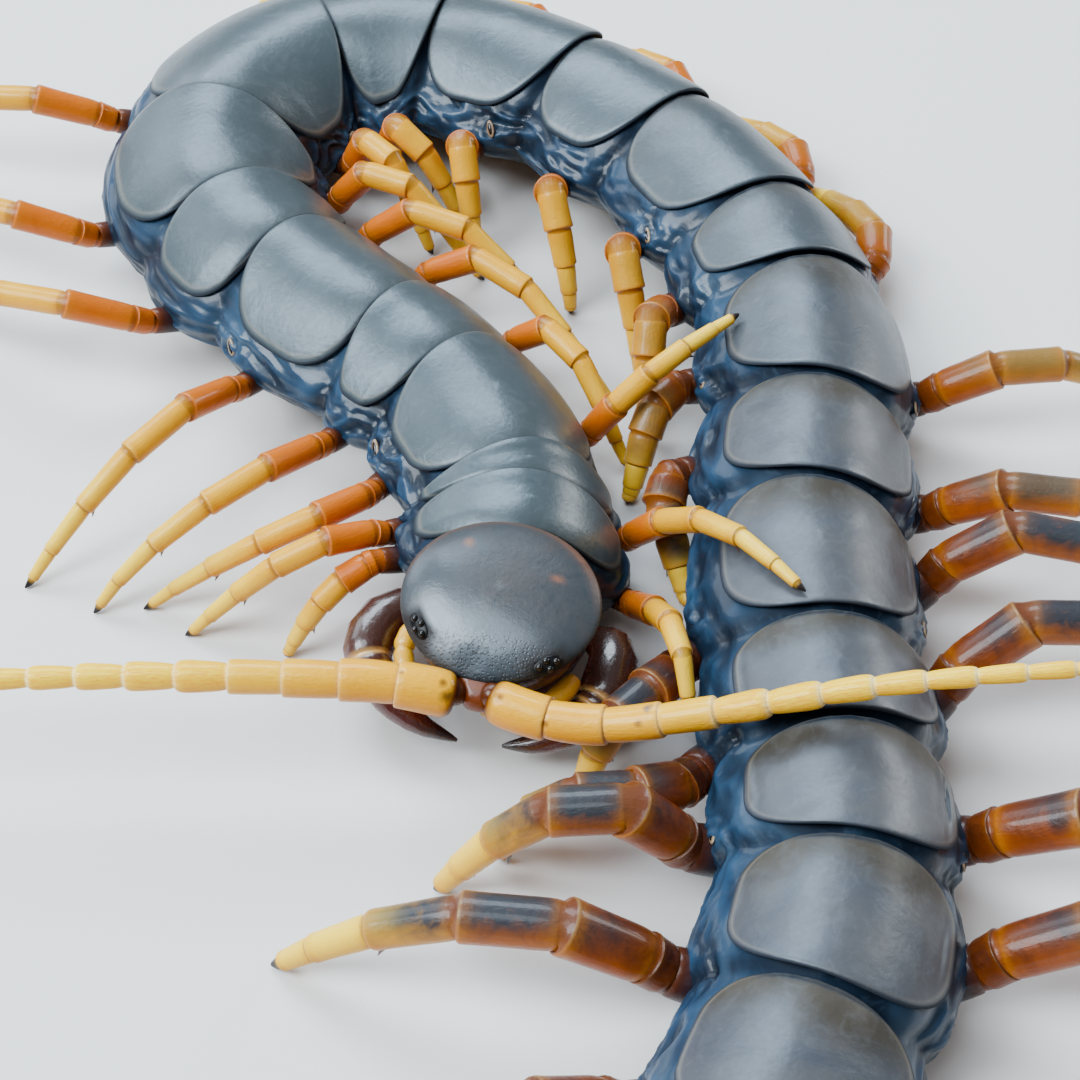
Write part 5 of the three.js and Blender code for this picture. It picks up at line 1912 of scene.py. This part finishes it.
class CENTIPEDE_OT_mouthparts(bpy.types.Operator):
    """Makes the poison claws, the plate that carries them and the palps"""

    bl_idname = "centipede.mouthparts"
    bl_label = "Mouthparts"

    def execute(self, context):
        own = settings()
        finish = limb_finish(
            "jaw_shell", 0.26, 0.3, Specular_IOR_Level=0.4, Coat_Weight=0.5, Coat_Roughness=0.08)
        for word, points in FANGS.items():
            claw = swept(f"fang_{word}", self.fang_stations(points), own.leg_sides + 8, finish)
            finished(claw, "jaw", f"poison_claw_{word}")
        for word, points in PALPS.items():
            palp = swept(f"feeding_palp_{word}", self.palp_stations(points), own.leg_sides, finish)
            finished(palp, "antenna", f"palp_{word}")
        self.carrier(np.array(own.jaw), np.array(own.jaw_dark))
        return {"FINISHED"}

    def fang_stations(self, points):
        """Stations of a poison claw, with a greyer top that is a painted sheen, a dark tip and pale creases.
        """
        own = settings()
        path = head_path(points)
        stations = []
        for share, radius in FANG_PROFILE:
            crease = max(math.exp(-((share - place) / 0.009) ** 2) for place in FANG_CREASES)
            tone = blend(own.jaw, own.jaw_dark, float(smoothstep(0.72, 0.95, share)))
            top = blend(own.jaw_sheen, tone, float(smoothstep(0.35, 0.8, share)))
            near, over = blend(tone, own.joint_ring_and_highlight, 0.8 * crease), blend(top, own.joint_ring_and_highlight, 0.9 * crease)
            stations.append((path.at(share), radius, near, over, 0.0))
        return stations

    def palp_stations(self, points):
        """Stations of a palp, redder at its tip, with a slightly paler top that is a painted sheen."""
        own = settings()
        path = head_path(points)
        stations = []
        for share, radius in PALP_PROFILE:
            tone = blend(own.leg_tip, own.jaw, 0.25 + 0.5 * float(smoothstep(0.92, 1.0, share)))
            stations.append((path.at(share), radius, tone, blend(tone, own.leg_tip, 0.3), 0.1))
        return stations

    def carrier(self, jaw, dark):
        """Plate that carries the poison claws, with two rows of blunt teeth at its front."""
        rows = np.array(CLAW_PLATE)
        rings = []
        for place in np.linspace(rows[0, 0], rows[-1, 0], CARRIER_RINGS):
            row = [np.interp(place, rows[:, 0], rows[:, n]) for n in (1, 2, 3)]
            rings.append(smooth_section((place, *row), CARRIER_SIDES))
        plate = Joined()
        plate.add(
            eased(np.array(rings), 1), tint=[[blend(dark, jaw, 0.6)] * CARRIER_SIDES] * CARRIER_RINGS,
            pitted=[[0.0] * CARRIER_SIDES] * CARRIER_RINGS)
        for side in (1, -1):
            for n in range(TEETH):
                plate.add(
                    self.tooth(side * (TOOTH_ASIDE + TOOTH_STEP * n)),
                    tint=[[dark * 0.5] * TOOTH_SIDES] * TOOTH_RINGS,
                    pitted=[[0.0] * TOOTH_SIDES] * TOOTH_RINGS)
        finished(plate.make("fang_carrier", bpy.data.materials["face_shell"]), "jaw", "claw_plate")

    def tooth(self, aside):
        """Rings of a blunt tooth that points ahead."""
        _, _, right = head_frame()
        rings = []
        for share in np.linspace(0, 1, TOOTH_RINGS):
            place = (TOOTH_AHEAD + TOOTH_LENGTH * share, aside, TOOTH_LEVEL - TOOTH_DROP * share)
            size = TOOTH_RADIUS * (1 - share ** 2 * 0.75)
            rings.append([
                in_head(place) + right * size * math.cos(angle) + UP * size * math.sin(angle)
                for angle in np.linspace(0, 2 * math.pi, TOOTH_SIDES, endpoint=False)
            ])
        return rings


# Stage


def placed(name, data, place, target):
    """New light or camera that faces its target, both in metres."""
    made = bpy.data.objects.new(name, data)
    made.location = place
    made.rotation_euler = (Vector(target) - Vector(place)).to_track_quat("-Z", "Y").to_euler()
    bpy.context.scene.collection.objects.link(made)
    return made


def add_light(name, place, size, power, colour):
    """Soft square light that faces the centipede."""
    data = bpy.data.lights.new(name, "AREA")
    data.shape = "RECTANGLE"
    data.size, data.size_y = size
    data.energy = power
    data.color = colour
    placed(name, data, place, LIT_POINT)


def add_air(scene):
    """Faint even light from all around."""
    world = bpy.data.worlds.new("studio_air")
    world.use_nodes = True
    background = world.node_tree.nodes["Background"]
    background.inputs["Color"].default_value = AIR_COLOUR
    background.inputs["Strength"].default_value = AIR_STRENGTH
    scene.world = world


def add_camera(scene):
    """Camera at the photograph's angle."""
    data = bpy.data.cameras.new("photo_camera")
    data.lens = CAMERA_LENS
    data.sensor_width = SENSOR_WIDTH
    data.sensor_fit = "HORIZONTAL"
    data.clip_start, data.clip_end = 0.01, 20
    scene.camera = placed("photo_camera", data, Vector(CAMERA_PLACE) * MM, Vector(CAMERA_TARGET) * MM)


class CENTIPEDE_OT_stage(bpy.types.Operator):
    """Makes the floor, the soft studio lights and the camera at the photograph's angle"""

    bl_idname = "centipede.stage"
    bl_label = "Stage and camera"

    def execute(self, context):
        far = FLOOR_REACH
        corners = [(-far, -far, 0), (far, -far, 0), (far, far, 0), (-far, far, 0)]
        floor = add_mesh("studio_floor", corners, [(0, 1, 2, 3)], floor_finish())
        for name, (place, size, power, colour) in LIGHTS.items():
            add_light(name, place, size, power * settings().light, colour)
        add_air(context.scene)
        add_camera(context.scene)
        return {"FINISHED"}


# Settings


def colour_property(name, description, colour):
    """Colour that the user can change."""
    return bpy.props.FloatVectorProperty(
        name=name, description=description, subtype="COLOR", size=3, min=0, max=1, default=linear(colour))


class CentipedeSettings(bpy.types.PropertyGroup):
    """Sizes and colours of the centipede."""

    skin_sides: bpy.props.IntProperty(
        name="Skin sides", description="Points round the trunk's flesh", default=132, min=24, max=240)
    skin_step: bpy.props.FloatProperty(
        name="Skin step", description="Distance between rings of the trunk's flesh", default=0.36 * MM,
        min=0.0002, max=0.003, unit="LENGTH", precision=5)
    fold_depth: bpy.props.FloatProperty(
        name="Fold depth", description="Strength of the folds on the flank", default=1.0, min=0, max=3)
    plate_sides: bpy.props.IntProperty(
        name="Plate sides", description="Points round the outline of a plate", default=112, min=24, max=200)
    leg_sides: bpy.props.IntProperty(
        name="Leg sides", description="Points round a leg", default=24, min=8, max=64)
    light: bpy.props.FloatProperty(
        name="Light", description="Strength of the studio lights", default=1.0, min=0, max=10)
    plate_front: colour_property("Front plates", "Back plates near the head", 0x3a4448)
    plate_rear: colour_property("Rear plates", "Back plates near the tail", 0x3c3f46)
    plate_front_edge: colour_property("Plate fronts", "Browner front of each rear plate", 0x332b1c)
    # Painted highlight along the plates' margins
    plate_margin_highlight: colour_property("Plate margins", "Thin pale line along the margins", 0x7c786c)
    membrane_deep: colour_property("Flank", "Blue membrane of the flanks", 0x10202f)
    # Painted highlight on the flank's raised folds
    membrane_fold_highlight: colour_property("Flank folds", "Raised folds of the flank", 0x244460)
    # Painted shade of the flank's creases, of its lower part towards the belly and of the plates' grooves
    membrane_shade: colour_property("Flank creases", "Creases between the segments", 0x070b14)
    head_base: colour_property("Head", "Head plate", 0x32373b)
    head_warm: colour_property("Head middle", "Warmer middle of the head plate", 0x413c3a)
    head_rim: colour_property("Head rim", "Rear rim of the head plate", 0x6e4424)
    head_spot: colour_property("Head spots", "Faint red spots on the head plate", 0xa0603a)
    jaw: colour_property("Jaws", "Poison claws", 0x501404)
    jaw_dark: colour_property("Jaw tips", "Tips of the poison claws", 0x1d0c08)
    jaw_sheen: colour_property("Jaw top", "Greyer top of the poison claws", 0x38221c)
    leg_root_front: colour_property("Front leg root", "Prefemur of the front legs", 0xc46200)
    leg_root_rear: colour_property("Rear leg root", "Prefemur of the rear legs", 0xa04a00)
    leg_burnt: colour_property("Leg knee", "Burnt brown top of the prefemur's end", 0x280e06)
    leg_middle_front: colour_property("Front leg middle", "Femur of the front legs", 0xd89404)
    leg_middle_rear: colour_property("Rear leg middle", "Femur of the rear legs, below", 0x9c5000)
    # Painted sheen on the front legs' femur top
    leg_top_sheen_front: colour_property("Front leg top", "Top of the front legs' femur", 0xdea40c)
    leg_dusk_rear: colour_property("Rear leg top", "Top of the rear legs' femur and tibia", 0x2c3036)
    leg_tip: colour_property("Leg end", "Tarsus of every leg", 0xe0a814)
    # Painted sheen on the tarsi's top
    leg_tip_sheen: colour_property("Leg end top", "Paler top of the tarsus", 0xf4cc34)
    claw_tip: colour_property("Claws", "Claws of the feet", 0x1c1412)
    # Pale rings of the claws' creases, and the painted highlight on the legs' joints
    joint_ring_and_highlight: colour_property("Joints", "Pale rings at the joints", 0xd8a860)
    joint_warm: colour_property("Joint glow", "Orange beside the joints", 0xc07400)
    joint_dark: colour_property("Joint seam", "Dark seam inside the joints", 0x5a260c)
    antenna_root: colour_property("Feeler root", "First articles of the feelers", 0xce8600)
    # Painted sheen on the upper side of the first articles
    antenna_root_sheen: colour_property("Feeler root top", "Upper side of the first articles", 0xe6a600)
    antenna_tip: colour_property("Feeler", "Other articles of the feelers", 0xecb400)
    # Painted sheen on the upper side of the other articles
    antenna_tip_sheen: colour_property("Feeler top", "Upper side of the other articles", 0xfad010)
    antenna_joint: colour_property("Feeler joints", "Pale rings between the articles", 0xf8ecb8)
    face: colour_property("Face", "Amber face and sockets between the feelers", 0x702e00)
    antenna_seam: colour_property("Feeler seams", "Thin dark seams between the first articles", 0x7a4010)


class CENTIPEDE_PT_panel(bpy.types.Panel):
    """Lists the pieces of the centipede and its settings"""

    bl_idname = "CENTIPEDE_PT_panel"
    bl_label = "Giant centipede"
    bl_space_type = "VIEW_3D"
    bl_region_type = "UI"
    bl_category = "Centipede"

    def draw(self, context):
        layout = self.layout
        for operator in OPERATORS:
            layout.operator(operator.bl_idname)
        own = settings()
        for key in own.bl_rna.properties.keys():
            if key not in ("rna_type", "name"):
                layout.prop(own, key)


OPERATORS = [
    CENTIPEDE_OT_stage,
    CENTIPEDE_OT_trunk,
    CENTIPEDE_OT_back_plates,
    CENTIPEDE_OT_belly_plates,
    CENTIPEDE_OT_spiracles,
    CENTIPEDE_OT_legs,
    CENTIPEDE_OT_head,
    CENTIPEDE_OT_eyes,
    CENTIPEDE_OT_antennae,
    CENTIPEDE_OT_mouthparts,
]
CLASSES = [CentipedeSettings, *OPERATORS, CENTIPEDE_PT_panel]


def register():
    """Registers the classes and the settings."""
    for item in CLASSES:
        bpy.utils.register_class(item)
    bpy.types.Scene.centipede = bpy.props.PointerProperty(type=CentipedeSettings)


def unregister():
    """Removes the settings and the classes."""
    del bpy.types.Scene.centipede
    for item in reversed(CLASSES):
        bpy.utils.unregister_class(item)


def main():
    """Builds every piece in order."""
    register()
    bpy.ops.centipede.stage()
    bpy.ops.centipede.trunk()
    bpy.ops.centipede.back_plates()
    bpy.ops.centipede.belly_plates()
    bpy.ops.centipede.spiracles()
    bpy.ops.centipede.legs()
    bpy.ops.centipede.head()
    bpy.ops.centipede.eyes()
    bpy.ops.centipede.antennae()
    bpy.ops.centipede.mouthparts()
    bpy.context.view_layer.update()


if __name__ == "__main__":
    main()
